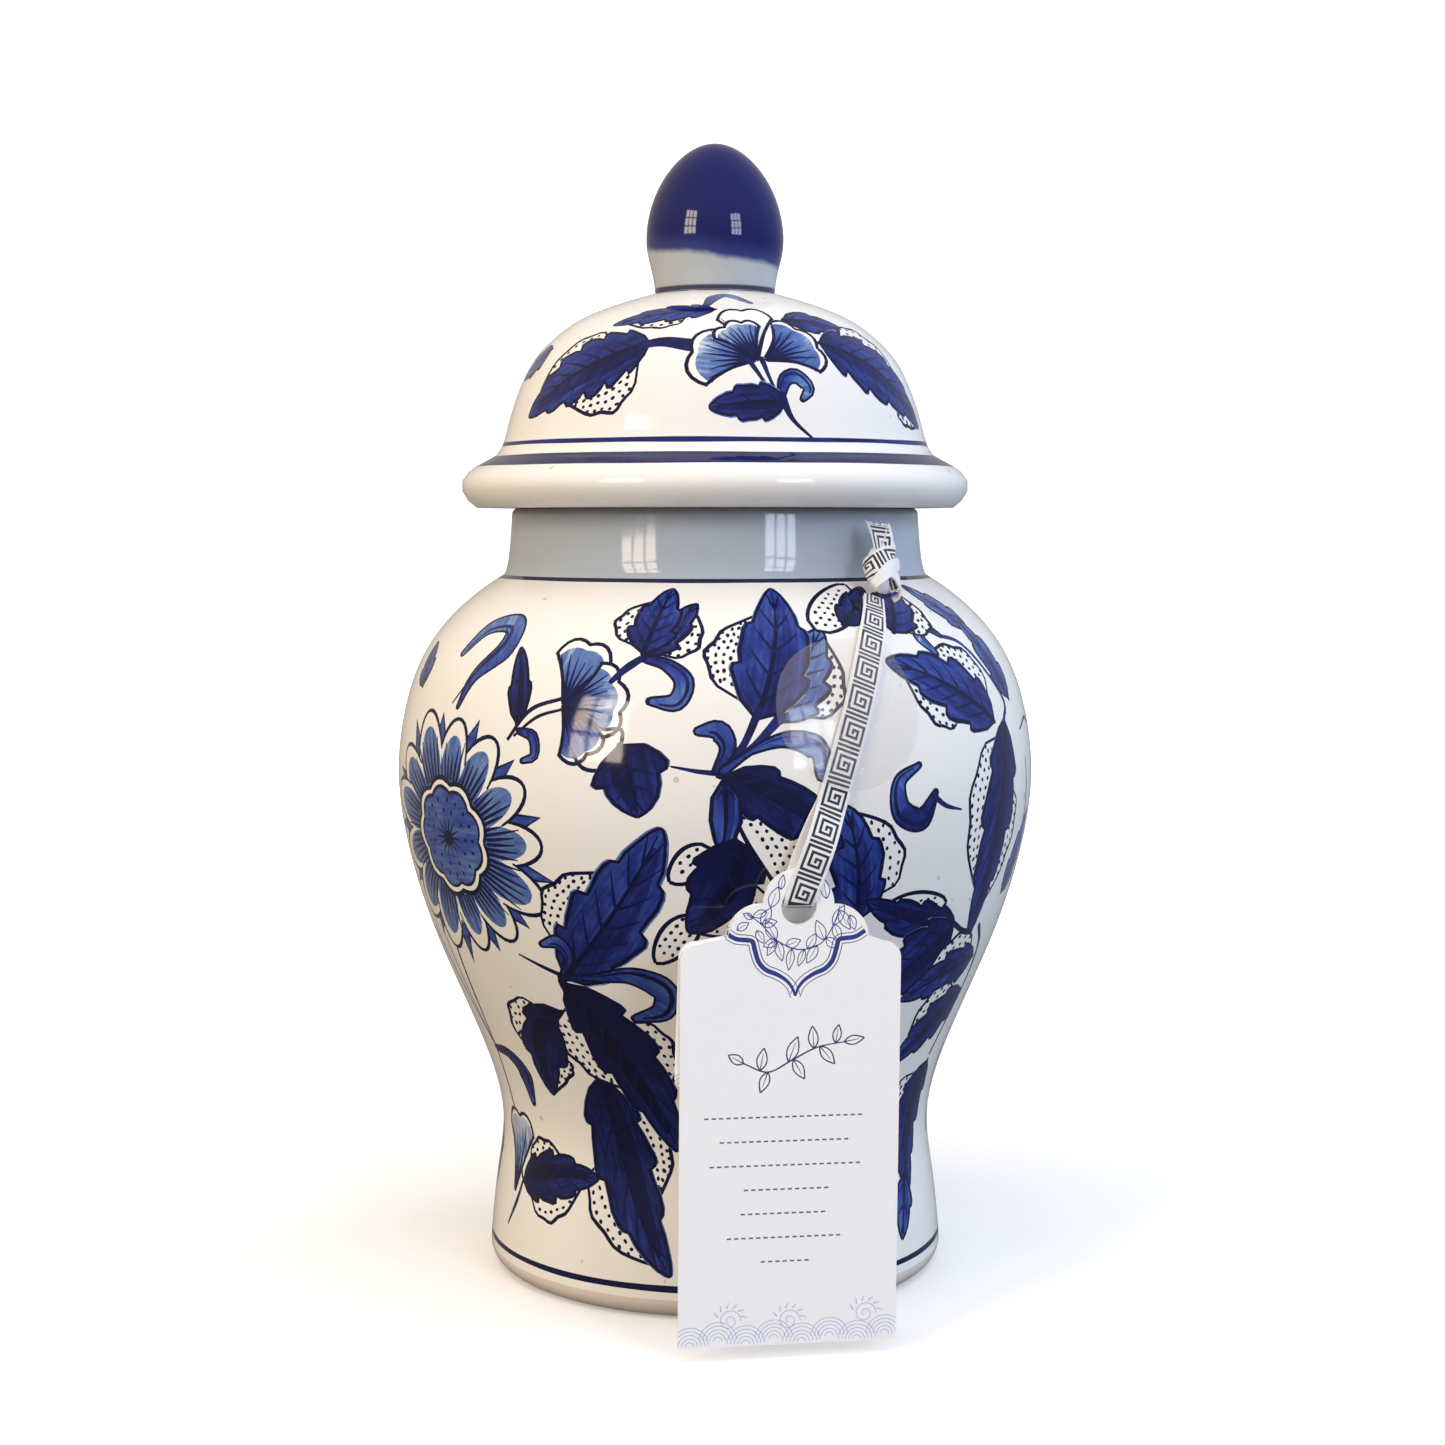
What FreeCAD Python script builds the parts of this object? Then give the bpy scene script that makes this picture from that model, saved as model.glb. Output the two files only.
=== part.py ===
"""Ginger jar: a baluster jar with a domed lid and knob, and a hang tag tied on a printed ribbon.

Frame: millimetres, +Z up, origin on the jar's axis in the plane of its foot ring.
The front of the jar faces -Y, and the tag hangs in front of it, a little to the +X side.
"""
import FreeCAD, Part
import math
import os

import Sketcher
from FreeCAD import Placement, Rotation, Vector

# Driving dimensions. Each line is a spreadsheet alias, its value in millimetres or degrees, or a formula
# that ties it to other sizes, and its meaning.
SIZES = [
    ("foot_radius", 52.0, "outside of the foot roll"),
    ("foot_round", 4.5, "rounding under the foot roll"),
    ("foot_ring_width", 7.5, "flat of the ring that the jar stands on"),
    ("foot_ring_bore", "=foot_radius - foot_round - foot_ring_width", "inside of that ring"),
    ("foot_recess", 4.0, "how far the underside is sunk inside that ring"),
    ("foot_collar_inset", 1.0, "how far the wall draws in above the foot roll"),
    ("foot_collar_radius", "=foot_radius - foot_collar_inset", "control radius above the foot roll"),
    ("waist_radius", 46.5, "control radius of the waist"),
    ("belly_radius", 72.5, "control radius of the belly"),
    ("neck_radius", 46.1, "outside of the neck at its rim"),
    ("neck_flare", 1.9, "how much wider the neck is at its root"),
    ("neck_root_height", 157.5, "where the shoulder meets the neck"),
    ("neck_height", 14.9, "neck above the shoulder"),
    ("rim_height", "=neck_root_height + neck_height", "top of the neck, on which the lid rests"),
    ("rim_round", 1.4, "rounding of the rim"),
    ("neck_wall", 4.6, "thickness of the neck at its rim"),
    ("neck_bore", "=neck_radius - neck_wall", "bore radius of the neck"),
    ("wall", 4.5, "thickness of the jar's wall"),
    ("floor_height", 9.5, "height of the floor inside"),
    ("floor_corner", 12.0, "rounding between wall and floor inside"),
    ("lip_overhang", 11.3, "lid's lip past the neck"),
    ("lip_radius", "=neck_radius + lip_overhang", "outside of the lid's lip"),
    ("lip_undercut", 3.4, "lip past the lid's flat seat"),
    ("lip_seat_radius", "=lip_radius - lip_undercut", "outer edge of the lid's flat seat"),
    ("lid_waist_overhang", 1.9, "lid just above its lip, past the neck"),
    ("lid_waist_radius", "=neck_radius + lid_waist_overhang", "lid just above its lip"),
    ("lid_height", 48.1, "from the rim to the seat of the knob"),
    ("lid_wall", 4.5, "thickness of the lid"),
    ("spigot_clearance", 1.2, "radial play of the lid's spigot in the neck"),
    ("spigot_wall", 3.5, "thickness of the spigot"),
    ("spigot_depth", 9.0, "how far the spigot reaches into the neck"),
    ("knob_seat_radius", 13.5, "foot of the knob"),
    ("knob_radius", 17.0, "control radius of the knob"),
    ("knob_height", 33.5, "knob above its seat"),
    ("ribbon_width", 6.35, "width of the ribbon"),
    ("ribbon_thickness", 0.4, "thickness of the ribbon"),
    ("ribbon_gap", 0.25, "air between ribbon, glaze, cards and knot"),
    ("ribbon_bend_gap", 0.8, "half of the gap where the ribbon bends"),
    ("ribbon_bend_height", 112.5, "where the ribbon comes free of the belly"),
    ("knot_width", 9.0, "width of the overhand knot"),
    ("knot_length", 12.0, "length of the overhand knot"),
    ("knot_thickness", 5.6, "thickness of the overhand knot"),
    ("knot_azimuth", 40.0, "knot's place around the neck, from the front"),
    ("tail_length", 10.5, "cut ends of the ribbon past the middle of the knot"),
    ("seal_radius", 16.0, "clear round seal"),
    ("seal_thickness", 0.3, "thickness of the clear seal"),
    ("seal_gap", 2.0, "seal above the glaze, over both strands"),
    ("seal_azimuth", 23.5, "seal's place around the belly, from the front"),
    ("seal_height", 131.0, "height of the middle of the seal"),
    ("card_width", 45.0, "both cards"),
    ("card_thickness", 0.5, "each card"),
    ("card_gap", 0.3, "air between the two cards"),
    ("front_card_drop", 89.6, "front card, from its hole to its lower edge"),
    ("back_card_drop", 38.0, "back card, from its hole to its lower edge"),
    ("card_corner", 3.5, "rounding of a card's shoulders and of the back card's lower corners"),
    ("front_card_corner", 0.5, "lower corners of the front card, cut nearly square"),
    ("card_shoulder_drop", 7.2, "shoulder of a card below its hole"),
    ("card_shoulder_rise", 1.2, "slope of the shoulder up to the lobe"),
    ("crest_offset", 1.4, "hole and crest to the right of the card's middle"),
    ("shoulder_length", 3.2, "right shoulder between its rounding and the lobe"),
    ("lobe_reach", "=card_width / 2 - crest_offset - card_corner - shoulder_length", "outer foot of the lobes"),
    ("lobe_radius", 7.0, "rounding of each lobe"),
    ("lobe_width", 7.2, "each lobe, from its foot to the arch"),
    ("arch_radius", "=lobe_reach - lobe_width", "arch over the hole"),
    ("hole_clearance", 0.425, "play of the ribbon in the cards' hole, on each side"),
    ("hole_radius", "=ribbon_width / 2 + hole_clearance", "hole in the cards"),
    ("hole_height", 92.6, "height of the hole"),
    ("tag_yaw", 9.5, "turn of the cards about the vertical"),
    ("tag_gap", 3.0, "front card in front of the widest belly"),
    ("tag_shift", 4.65, "hole to the right of the cards' normal through the axis"),
    ("front_card_lean", 0.5, "front card turned clockwise about its hole"),
    ("back_card_lean", 2.0, "back card turned clockwise about its hole"),
]

doc = FreeCAD.newDocument("ginger_jar")
sheet = doc.addObject("Spreadsheet::Sheet", "Sizes")
for row, (alias, value, meaning) in enumerate(SIZES, start=1):
    sheet.set(f"A{row}", str(value))
    sheet.setAlias(f"A{row}", alias)
    sheet.set(f"B{row}", meaning)
doc.recompute()


def size(expression):
    """Value of an expression in the sheet's aliases, as a plain number."""
    result = sheet.evalExpression(expression)
    return float(getattr(result, "Value", result))


def bound(expression):
    """The same expression as another object must write it, with each alias led by the sheet's name."""
    words = []
    for word in expression.replace("(", "( ").replace(")", " )").split():
        is_alias = any(word == alias for alias, value, meaning in SIZES)
        words.append(f"Sizes.{word}" if is_alias else word)
    return " ".join(words)


class Outline:
    """A closed sketch drawn point after point, with every point and rounding bound to the sheet.

    A point is a pair of expressions: the distance from the jar's axis, or across a card, and the height.
    """

    def __init__(self, sketch, start):
        self.sketch = sketch
        self.start = start
        self.here = start
        self.first = None
        self.last = None
        self.count = 0

    def vector(self, point):
        return Vector(size(point[0]), size(point[1]), 0)

    def bind(self, constraint, expression):
        """Adds a dimension and binds it."""
        self.count += 1
        name = f"size{self.count}"
        index = self.sketch.addConstraint(constraint)
        self.sketch.renameConstraint(index, name)
        self.sketch.setExpression(f"Constraints.{name}", bound(expression))

    def place(self, geometry, end, point):
        """Binds one end of a piece of geometry, or a circle's centre, to a point."""
        self.bind(Sketcher.Constraint("DistanceX", -1, 1, geometry, end, size(point[0])), point[0])
        self.bind(Sketcher.Constraint("DistanceY", -1, 1, geometry, end, size(point[1])), point[1])

    def join(self, geometry, point):
        """Ties a new piece to the end of the last one, and its other end to a point or to the start."""
        flipped = (self.sketch.getPoint(geometry, 1) - self.vector(self.here)).Length > 1e-6
        near, far = (2, 1) if flipped else (1, 2)
        if self.last is None:
            self.first = (geometry, near)
            self.place(geometry, near, self.start)
        else:
            self.sketch.addConstraint(Sketcher.Constraint("Coincident", *self.last, geometry, near))
        if point == self.start:
            self.sketch.addConstraint(Sketcher.Constraint("Coincident", geometry, far, *self.first))
        else:
            self.place(geometry, far, point)
        self.last = (geometry, far)
        self.here = point

    def line(self, *points):
        for point in points:
            segment = Part.LineSegment(self.vector(self.here), self.vector(point))
            self.join(self.sketch.addGeometry(segment, False), point)

    def curve(self, *points):
        """A clamped cubic B-spline whose control points are the last point and these."""
        spline = Part.BSplineCurve()
        spline.buildFromPoles([self.vector(point) for point in (self.here, *points)], False, 3)
        geometry = self.sketch.addGeometry(spline, False)
        self.sketch.exposeInternalGeometry(geometry)
        for number, point in enumerate(points[:-1], start=1):
            self.place(geometry + 1 + number, 3, point)
        self.join(geometry, points[-1])

    def arc(self, radius, point, side=1):
        """A rounding of that radius to a point, turning left where side is 1 and right where it is -1."""
        start = self.vector(self.here)
        end = self.vector(point)
        chord = end - start
        rise = size(radius) - math.sqrt(size(radius) ** 2 - chord.Length**2 / 4)
        outward = Vector(chord.y, -chord.x, 0).normalize() * side
        bend = Part.Arc(start, (start + end) / 2 + outward * rise, end)
        geometry = self.sketch.addGeometry(bend, False)
        self.join(geometry, point)
        self.bind(Sketcher.Constraint("Radius", geometry, size(radius)), radius)

    def hole(self, radius):
        """A round hole about the sketch's origin."""
        circle = Part.Circle(Vector(0, 0, 0), Vector(0, 0, 1), size(radius))
        geometry = self.sketch.addGeometry(circle, False)
        self.sketch.addConstraint(Sketcher.Constraint("Coincident", geometry, 3, -1, 1))
        self.bind(Sketcher.Constraint("Radius", geometry, size(radius)), radius)


def sketch_in(body, name):
    """A sketch on the body's own XZ plane: its X is the jar's radius and its Y is height."""
    sketch = body.newObject("Sketcher::SketchObject", name)
    plane = next(feature for feature in body.Origin.OriginFeatures if feature.Role == "XZ_Plane")
    sketch.AttachmentSupport = [(plane, "")]
    sketch.MapMode = "FlatFace"
    return sketch


def turned_body(label, sketch_name):
    """A body to be turned about its axis like a pot on a wheel."""
    body = doc.addObject("PartDesign::Body", label)
    body.Label = label
    return body, sketch_in(body, sketch_name)


def turn(body, sketch, name):
    revolution = body.newObject("PartDesign::Revolution", name)
    revolution.Profile = sketch
    revolution.ReferenceAxis = (sketch, ["V_Axis"])
    revolution.Angle = 360
    return revolution


# The outer wall of the jar, as control points from the foot roll up to the root of the neck.
WALL = [
    ("foot_radius", "foot_round"),
    ("foot_collar_radius", "neck_root_height * 0.13"),
    ("waist_radius", "neck_root_height * 0.21"),
    ("waist_radius + ( belly_radius - waist_radius ) * 0.327", "neck_root_height * 0.356"),
    ("waist_radius + ( belly_radius - waist_radius ) * 0.731", "neck_root_height * 0.498"),
    ("belly_radius", "neck_root_height * 0.66"),
    ("belly_radius", "neck_root_height * 0.794"),
    ("neck_radius + ( belly_radius - neck_radius ) * 0.697", "neck_root_height * 0.937"),
    ("neck_radius + neck_flare", "neck_root_height"),
]


def shifted(point, inward, down="0"):
    """A control point moved towards the axis and down."""
    return (f"{point[0]} - {inward}", f"{point[1]} - {down}")


def make_jar_body():
    """The jar: a foot ring under a sunk base, a wall of even thickness and a plain neck."""
    body, sketch = turned_body("jar_body", "jar_section")
    path = Outline(sketch, ("0", "foot_recess"))
    path.line(("foot_ring_bore", "foot_recess"), ("foot_ring_bore", "0"), ("foot_radius - foot_round", "0"))
    path.arc("foot_round", WALL[0])
    path.curve(*WALL[1:])
    neck_top = ("neck_radius", "rim_height - rim_round")
    path.curve(
        ("neck_radius + neck_flare * 0.4", "neck_root_height + 1.5"),
        ("neck_radius + neck_flare * 0.2", "neck_root_height + 7"),
        neck_top,
    )
    path.arc("rim_round", ("neck_radius - rim_round", "rim_height"))
    path.line(("neck_bore + rim_round", "rim_height"))
    path.arc("rim_round", ("neck_bore", "rim_height - rim_round"))
    path.line(("neck_bore", "neck_root_height - wall * 0.8"))
    cavity = [
        shifted(WALL[7], "wall * 0.8", "wall * 0.9"),
        shifted(WALL[6], "wall"),
        shifted(WALL[5], "wall"),
        shifted(WALL[4], "wall * 0.95", "( 0 - wall * 0.3 )"),
        shifted(WALL[3], "wall * 0.95", "( 0 - wall * 0.3 )"),
        shifted(WALL[2], "wall"),
        ("waist_radius - wall", "floor_height + floor_corner"),
    ]
    path.curve(*cavity)
    path.arc("floor_corner", ("waist_radius - wall - floor_corner", "floor_height"), side=-1)
    path.line(("0", "floor_height"), path.start)
    turn(body, sketch, "jar_turning")
    return body


# The outside of the lid, as control points from the edge of its seat over the lip to the knob's seat.
LID = [
    ("lip_seat_radius", "rim_height"),
    ("lip_radius - 0.9", "rim_height + lid_height * 0.033"),
    ("lip_radius + 1.1", "rim_height + lid_height * 0.116"),
    ("lip_radius - 2.4", "rim_height + lid_height * 0.189"),
    ("lid_waist_radius + 1.5", "rim_height + lid_height * 0.241"),
    ("lid_waist_radius + 0.5", "rim_height + lid_height * 0.272"),
    ("lid_waist_radius - 0.5", "rim_height + lid_height * 0.324"),
    ("lid_waist_radius - 2", "rim_height + lid_height * 0.459"),
    ("lid_waist_radius - 6", "rim_height + lid_height * 0.678"),
    ("lid_waist_radius - 12", "rim_height + lid_height * 0.802"),
    ("lid_waist_radius - 19.5", "rim_height + lid_height * 0.917"),
    ("knob_seat_radius", "rim_height + lid_height"),
]


def make_lid():
    """The lid: a hollow dome whose flat seat rests on the rim, with a spigot that drops into the neck."""
    body, sketch = turned_body("lid", "lid_section")
    spigot = "neck_bore - spigot_clearance"
    ceiling = "rim_height + lid_height - lid_wall"
    path = Outline(sketch, (f"{spigot} - spigot_wall", "rim_height - spigot_depth"))
    path.line((spigot, "rim_height - spigot_depth"), (spigot, "rim_height"), LID[0])
    path.curve(*LID[1:])
    path.line(("0", "rim_height + lid_height"), ("0", ceiling))
    path.curve(
        ("knob_seat_radius - lid_wall * 0.3", ceiling),
        shifted(LID[10], "lid_wall * 0.5", "lid_wall * 0.9"),
        shifted(LID[9], "lid_wall * 0.8", "lid_wall * 0.6"),
        shifted(LID[8], "lid_wall * 0.9", "lid_wall * 0.4"),
        shifted(LID[7], "lid_wall"),
        (f"{spigot} - spigot_wall + 2", "rim_height + lid_height * 0.2"),
        (f"{spigot} - spigot_wall", "rim_height + lid_height * 0.08"),
    )
    path.line(path.start)
    turn(body, sketch, "lid_turning")
    return body


def make_knob():
    """The solid knob that sits on top of the lid."""
    body, sketch = turned_body("lid_knob", "knob_section")
    seat = "rim_height + lid_height"
    path = Outline(sketch, ("0", seat))
    path.line(("knob_seat_radius", seat))
    path.curve(
        ("knob_radius - 3", f"{seat} + knob_height * 0.164"),
        ("knob_radius - 0.5", f"{seat} + knob_height * 0.284"),
        ("knob_radius - 3", f"{seat} + knob_height * 0.746"),
        ("knob_radius - 12", f"{seat} + knob_height"),
        ("0", f"{seat} + knob_height"),
    )
    path.line(path.start)
    turn(body, sketch, "knob_turning")
    return body


def wall_curve():
    spline = Part.BSplineCurve()
    spline.buildFromPoles([Vector(size(r), 0, size(z)) for r, z in WALL], False, 3)
    return spline


OUTER_WALL = wall_curve()


def wall_at(height):
    """Radius of the outer wall at a height, and how steeply it leans, as an angle from the vertical."""
    low, high = OUTER_WALL.FirstParameter, OUTER_WALL.LastParameter
    for step in range(60):
        middle = (low + high) / 2
        if OUTER_WALL.value(middle).z < height:
            low = middle
        else:
            high = middle
    slope = OUTER_WALL.tangent(low)[0]
    return OUTER_WALL.value(low).x, math.atan2(-slope.x, slope.z)


def widest_belly():
    first, last = OUTER_WALL.FirstParameter, OUTER_WALL.LastParameter
    samples = 400
    return max(OUTER_WALL.value(first + (last - first) * n / samples).x for n in range(samples + 1))


def on_wall(azimuth, height, lift):
    """A point at a distance from the glaze, and the glaze's outward direction there."""
    radius, lean = wall_at(height)
    sideways = Vector(math.sin(math.radians(azimuth)), -math.cos(math.radians(azimuth)), 0)
    outward = sideways * math.cos(lean) + Vector(0, 0, math.sin(lean))
    return sideways * radius + Vector(0, 0, height) + outward * lift, outward


# Directions of the hanging cards: across them to the right, out of their printed face, and their hole.
YAW = math.radians(size("tag_yaw"))
ACROSS = Vector(math.cos(YAW), math.sin(YAW), 0)
FORWARD = Vector(math.sin(YAW), -math.cos(YAW), 0)
UP = Vector(0, 0, 1)
CARD_PITCH = size("card_thickness + card_gap")
HOLE = FORWARD * (widest_belly() + size("tag_gap")) + ACROSS * size("tag_shift") + UP * size("hole_height")


def ribbon_strip(label, stations):
    """A flat strip lofted through cross sections: each is a middle, a direction out of the strip
    and a direction along it."""
    sections = []
    for number, (middle, outward, along) in enumerate(stations):
        section = doc.addObject("Part::Plane", f"{label}_section{number}")
        section.setExpression("Length", "Sizes.ribbon_width")
        section.setExpression("Width", "Sizes.ribbon_thickness")
        across = along.cross(outward).normalize()
        outward = across.cross(along).normalize()
        corner = middle - across * size("ribbon_width / 2") - outward * size("ribbon_thickness / 2")
        turned = Rotation(across, outward, Vector(0, 0, 0), "XYZ")
        section.Placement = Placement(corner, turned)
        sections.append(section)
    strip = doc.addObject("Part::Loft", label)
    strip.Label = label
    strip.Sections = sections
    strip.Solid = True
    return strip


def with_directions(points):
    """Stations of a strip from its middles and outward directions, with the way along it at each."""
    stations = []
    for number, (middle, outward) in enumerate(points):
        before = points[max(number - 1, 0)][0]
        after = points[min(number + 1, len(points) - 1)][0]
        stations.append((middle, outward, (after - before).normalize()))
    return stations


# Both strands of the ribbon on the glaze: the share of the way from the bend up to the knot, and the azimuth.
STRAND_ROUTE = [(0.0, 18.9), (0.2, 21.0), (0.4, 23.6), (0.6, 26.6), (0.78, 30.2), (0.9, 33.8), (1.0, 37.3)]
BACK_LIFT = size("ribbon_gap + ribbon_thickness / 2")
FRONT_LIFT = BACK_LIFT + size("ribbon_thickness + ribbon_gap")
STRAND_TOP = size("neck_root_height - 4.6")
BEND_HEIGHT = size("ribbon_bend_height")


def strand_point(share, azimuth, lift):
    return on_wall(azimuth, BEND_HEIGHT + share * (STRAND_TOP - BEND_HEIGHT), lift)


def make_upper_strand(label, lift, sidestep):
    """A strand from just above the bend, under the seal, to the knot. It lies on the glaze, or on the
    other strand, and sidestep is how far it stands to the right of the route at its middle."""
    points = []
    for share, azimuth in STRAND_ROUTE:
        radius = wall_at(BEND_HEIGHT + share * (STRAND_TOP - BEND_HEIGHT))[0]
        drift = math.degrees(sidestep * math.sin(math.pi * share) / radius)
        points.append(strand_point(share, azimuth + drift, lift))
    along = (points[1][0] - points[0][0]).normalize()
    points[0] = (points[0][0] + along * size("ribbon_bend_gap"), points[0][1])
    return ribbon_strip(label, with_directions(points))


def hanging_point(top, share, ahead, reach):
    """A point between the bend (share 0) and the bight (share 1), that stands ahead of the front card's
    middle by its full distance once reach of the way down."""
    goal = HOLE + FORWARD * ahead + UP * BIGHT
    eased = math.sin(math.pi / 2 * min(share / reach, 1.0))
    straight = top + (goal - top) * share
    return straight + FORWARD * (goal - top).dot(FORWARD) * (eased - share)


FRONT_AHEAD = size("card_thickness / 2 + ribbon_gap + ribbon_thickness / 2")
BACK_BEHIND = FRONT_AHEAD + CARD_PITCH
BIGHT = (FRONT_AHEAD + BACK_BEHIND) / 2


def hanging_points(ahead, lift, reach):
    """Middles and outward directions of a strand from just below the bend down to the bight."""
    steps = 6
    top, outward = on_wall(STRAND_ROUTE[0][1], BEND_HEIGHT, lift)
    middles = [hanging_point(top, step / steps, ahead, reach) for step in range(steps + 1)]
    downward = (middles[1] - middles[0]).normalize()
    middles[0] = top + downward * size("ribbon_bend_gap")
    facing = [outward + (FORWARD - outward) * min(step / steps * 1.5, 1.0) for step in range(steps + 1)]
    return [(middle, direction.normalize()) for middle, direction in zip(middles, facing)]


def make_ribbon_drop():
    """The free end of the loop: down in front of the cards, through their hole and up behind them."""
    front = with_directions(hanging_points(FRONT_AHEAD, FRONT_LIFT, 0.55))
    back = with_directions(hanging_points(-BACK_BEHIND, BACK_LIFT, 0.6))
    middle = HOLE + FORWARD * (FRONT_AHEAD - BACK_BEHIND) / 2 + UP * BIGHT
    bight = []
    for turn_angle in (0, 45, 90, 135, 180):
        angle = math.radians(turn_angle)
        outward = FORWARD * math.cos(angle) - UP * math.sin(angle)
        along = -FORWARD * math.sin(angle) - UP * math.cos(angle)
        bight.append((middle + outward * BIGHT, outward, along))
    front[-1] = bight[0]
    back[-1] = (bight[-1][0], FORWARD, -UP)
    pieces = [
        ribbon_strip("drop_front", front),
        ribbon_strip("drop_bight", bight),
        ribbon_strip("drop_back", back),
    ]
    drop = doc.addObject("Part::MultiFuse", "ribbon_drop")
    drop.Label = "ribbon_drop"
    drop.Shapes = pieces
    return drop


# Lean of the knot towards the neck, spread of its tails, and its rounding as a share of its thickness.
KNOT_TILT = 32.0
TAIL_SPREAD = 13.0
KNOT_ROUNDING = 0.45


def make_knot():
    """The overhand knot that leans in the corner of shoulder and neck, with its two cut tails."""
    azimuth = math.radians(size("knot_azimuth"))
    radial = Vector(math.sin(azimuth), -math.cos(azimuth), 0)
    tilt = math.radians(KNOT_TILT)
    along = UP * math.cos(tilt) + Vector(0, 1, 0) * math.sin(tilt)
    outward = (radial - along * radial.dot(along)).normalize()
    across = outward.cross(along)
    centre = radial * size("neck_radius + neck_flare + knot_thickness * 1.2")
    centre = centre + UP * size("neck_root_height + knot_length * 0.14")
    block = doc.addObject("Part::Box", "knot_block")
    block.setExpression("Length", "Sizes.knot_width")
    block.setExpression("Width", "Sizes.knot_thickness")
    block.setExpression("Height", "Sizes.knot_length")
    corner = centre - across * size("knot_width / 2") - outward * size("knot_thickness / 2")
    corner = corner - along * size("knot_length / 2")
    block.Placement = Placement(corner, Rotation(across, outward, along, "XYZ"))
    doc.recompute()
    bundle = doc.addObject("Part::Fillet", "knot_bundle")
    bundle.Base = block
    rounding = size("knot_thickness") * KNOT_ROUNDING
    bundle.Edges = [(number + 1, rounding, rounding) for number in range(len(block.Shape.Edges))]
    pieces = [bundle]
    for number, side in enumerate((-1, 1)):
        lean = math.radians(TAIL_SPREAD * side)
        sideways = UP.cross(radial)
        tail_up = UP * math.cos(lean) + sideways * math.sin(lean)
        tail_across = sideways * math.cos(lean) - UP * math.sin(lean)
        tail = doc.addObject("Part::Box", f"knot_tail{number}")
        tail.setExpression("Length", "Sizes.ribbon_width")
        tail.setExpression("Width", "Sizes.ribbon_thickness")
        tail.setExpression("Height", "Sizes.tail_length")
        layer = size("ribbon_thickness + ribbon_gap") * side
        corner = centre - tail_across * size("ribbon_width / 2") + radial * layer
        tail.Placement = Placement(corner, Rotation(tail_across, -radial, tail_up, "XYZ"))
        pieces.append(tail)
    knot = doc.addObject("Part::MultiFuse", "ribbon_knot")
    knot.Label = "ribbon_knot"
    knot.Shapes = pieces
    return knot


def make_seal():
    """The clear round seal: a disc of film that follows the belly over the ribbon."""
    sketch = doc.addObject("Sketcher::SketchObject", "seal_section")
    sketch.Placement = Placement(Vector(0, 0, 0), Rotation(Vector(1, 0, 0), 90))
    inner = [shifted(point, "( 0 - seal_gap )") for point in WALL]
    outer = [shifted(point, "( 0 - seal_gap - seal_thickness )") for point in WALL]
    path = Outline(sketch, inner[0])
    path.curve(*inner[1:])
    path.line(outer[-1])
    path.curve(*outer[-2::-1])
    path.line(path.start)
    shell = doc.addObject("Part::Revolution", "seal_shell")
    shell.Source = sketch
    shell.Axis = UP
    shell.Angle = 360
    shell.Solid = True
    cutter = doc.addObject("Part::Cylinder", "seal_cutter")
    cutter.setExpression("Radius", "Sizes.seal_radius")
    cutter.setExpression("Height", "Sizes.seal_radius * 2")
    surface, outward = on_wall(size("seal_azimuth"), size("seal_height"), 0)
    start = surface - outward * size("seal_radius")
    cutter.Placement = Placement(start, Rotation(UP, outward))
    seal = doc.addObject("Part::Common", "clear_seal")
    seal.Label = "clear_seal"
    seal.Base = shell
    seal.Tool = cutter
    return seal


def make_card(label, drop, corner, layer, lean):
    """A card cut to shoulders, two lobes and an arch, hung by the hole at its origin."""
    body = doc.addObject("PartDesign::Body", label)
    body.Label = label
    sketch = sketch_in(body, f"{label}_outline")
    left = "( 0 - crest_offset - card_width / 2 )"
    right = "( card_width / 2 - crest_offset )"
    bottom = f"( 0 - {drop} )"
    shoulder = "( 0 - card_shoulder_drop )"
    lobe_foot = f"{shoulder} + card_shoulder_rise"
    arch_foot = f"{lobe_foot} + lobe_radius - 0.5"
    arch_top = f"{arch_foot} + arch_radius"
    path = Outline(sketch, (f"{left} + {corner}", bottom))
    path.line((f"{right} - {corner}", bottom))
    path.arc(corner, (right, f"{bottom} + {corner}"))
    path.line((right, f"{shoulder} - card_corner"))
    path.arc("card_corner", (f"{right} - card_corner", shoulder))
    path.line(("lobe_reach", lobe_foot))
    path.arc("lobe_radius", ("arch_radius", arch_foot))
    path.arc("arch_radius", ("0", arch_top))
    path.arc("arch_radius", ("0 - arch_radius", arch_foot))
    path.arc("lobe_radius", ("0 - lobe_reach", lobe_foot))
    path.line((f"{left} + card_corner", shoulder))
    path.arc("card_corner", (left, f"{shoulder} - card_corner"))
    path.line((left, f"{bottom} + {corner}"))
    path.arc(corner, path.start)
    path.hole("hole_radius")
    pad = body.newObject("PartDesign::Pad", f"{label}_sheet")
    pad.Profile = sketch
    pad.SideType = "Symmetric"
    pad.setExpression("Length", "Sizes.card_thickness")
    upright = Rotation(ACROSS, -FORWARD, UP, "XYZ")
    leaning = Rotation(Vector(0, 1, 0), size(lean))
    body.Placement = Placement(HOLE - FORWARD * layer, upright.multiply(leaning))
    return body


SUBPARTS = [
    make_jar_body(),
    make_lid(),
    make_knob(),
    make_seal(),
    make_upper_strand("ribbon_front", FRONT_LIFT, 0.0),
    make_upper_strand("ribbon_back", BACK_LIFT, 1.4),
    make_ribbon_drop(),
    make_knot(),
    make_card("tag_front", "front_card_drop", "front_card_corner", 0.0, "front_card_lean"),
    make_card("tag_back", "back_card_drop", "card_corner", CARD_PITCH, "back_card_lean"),
]

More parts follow.
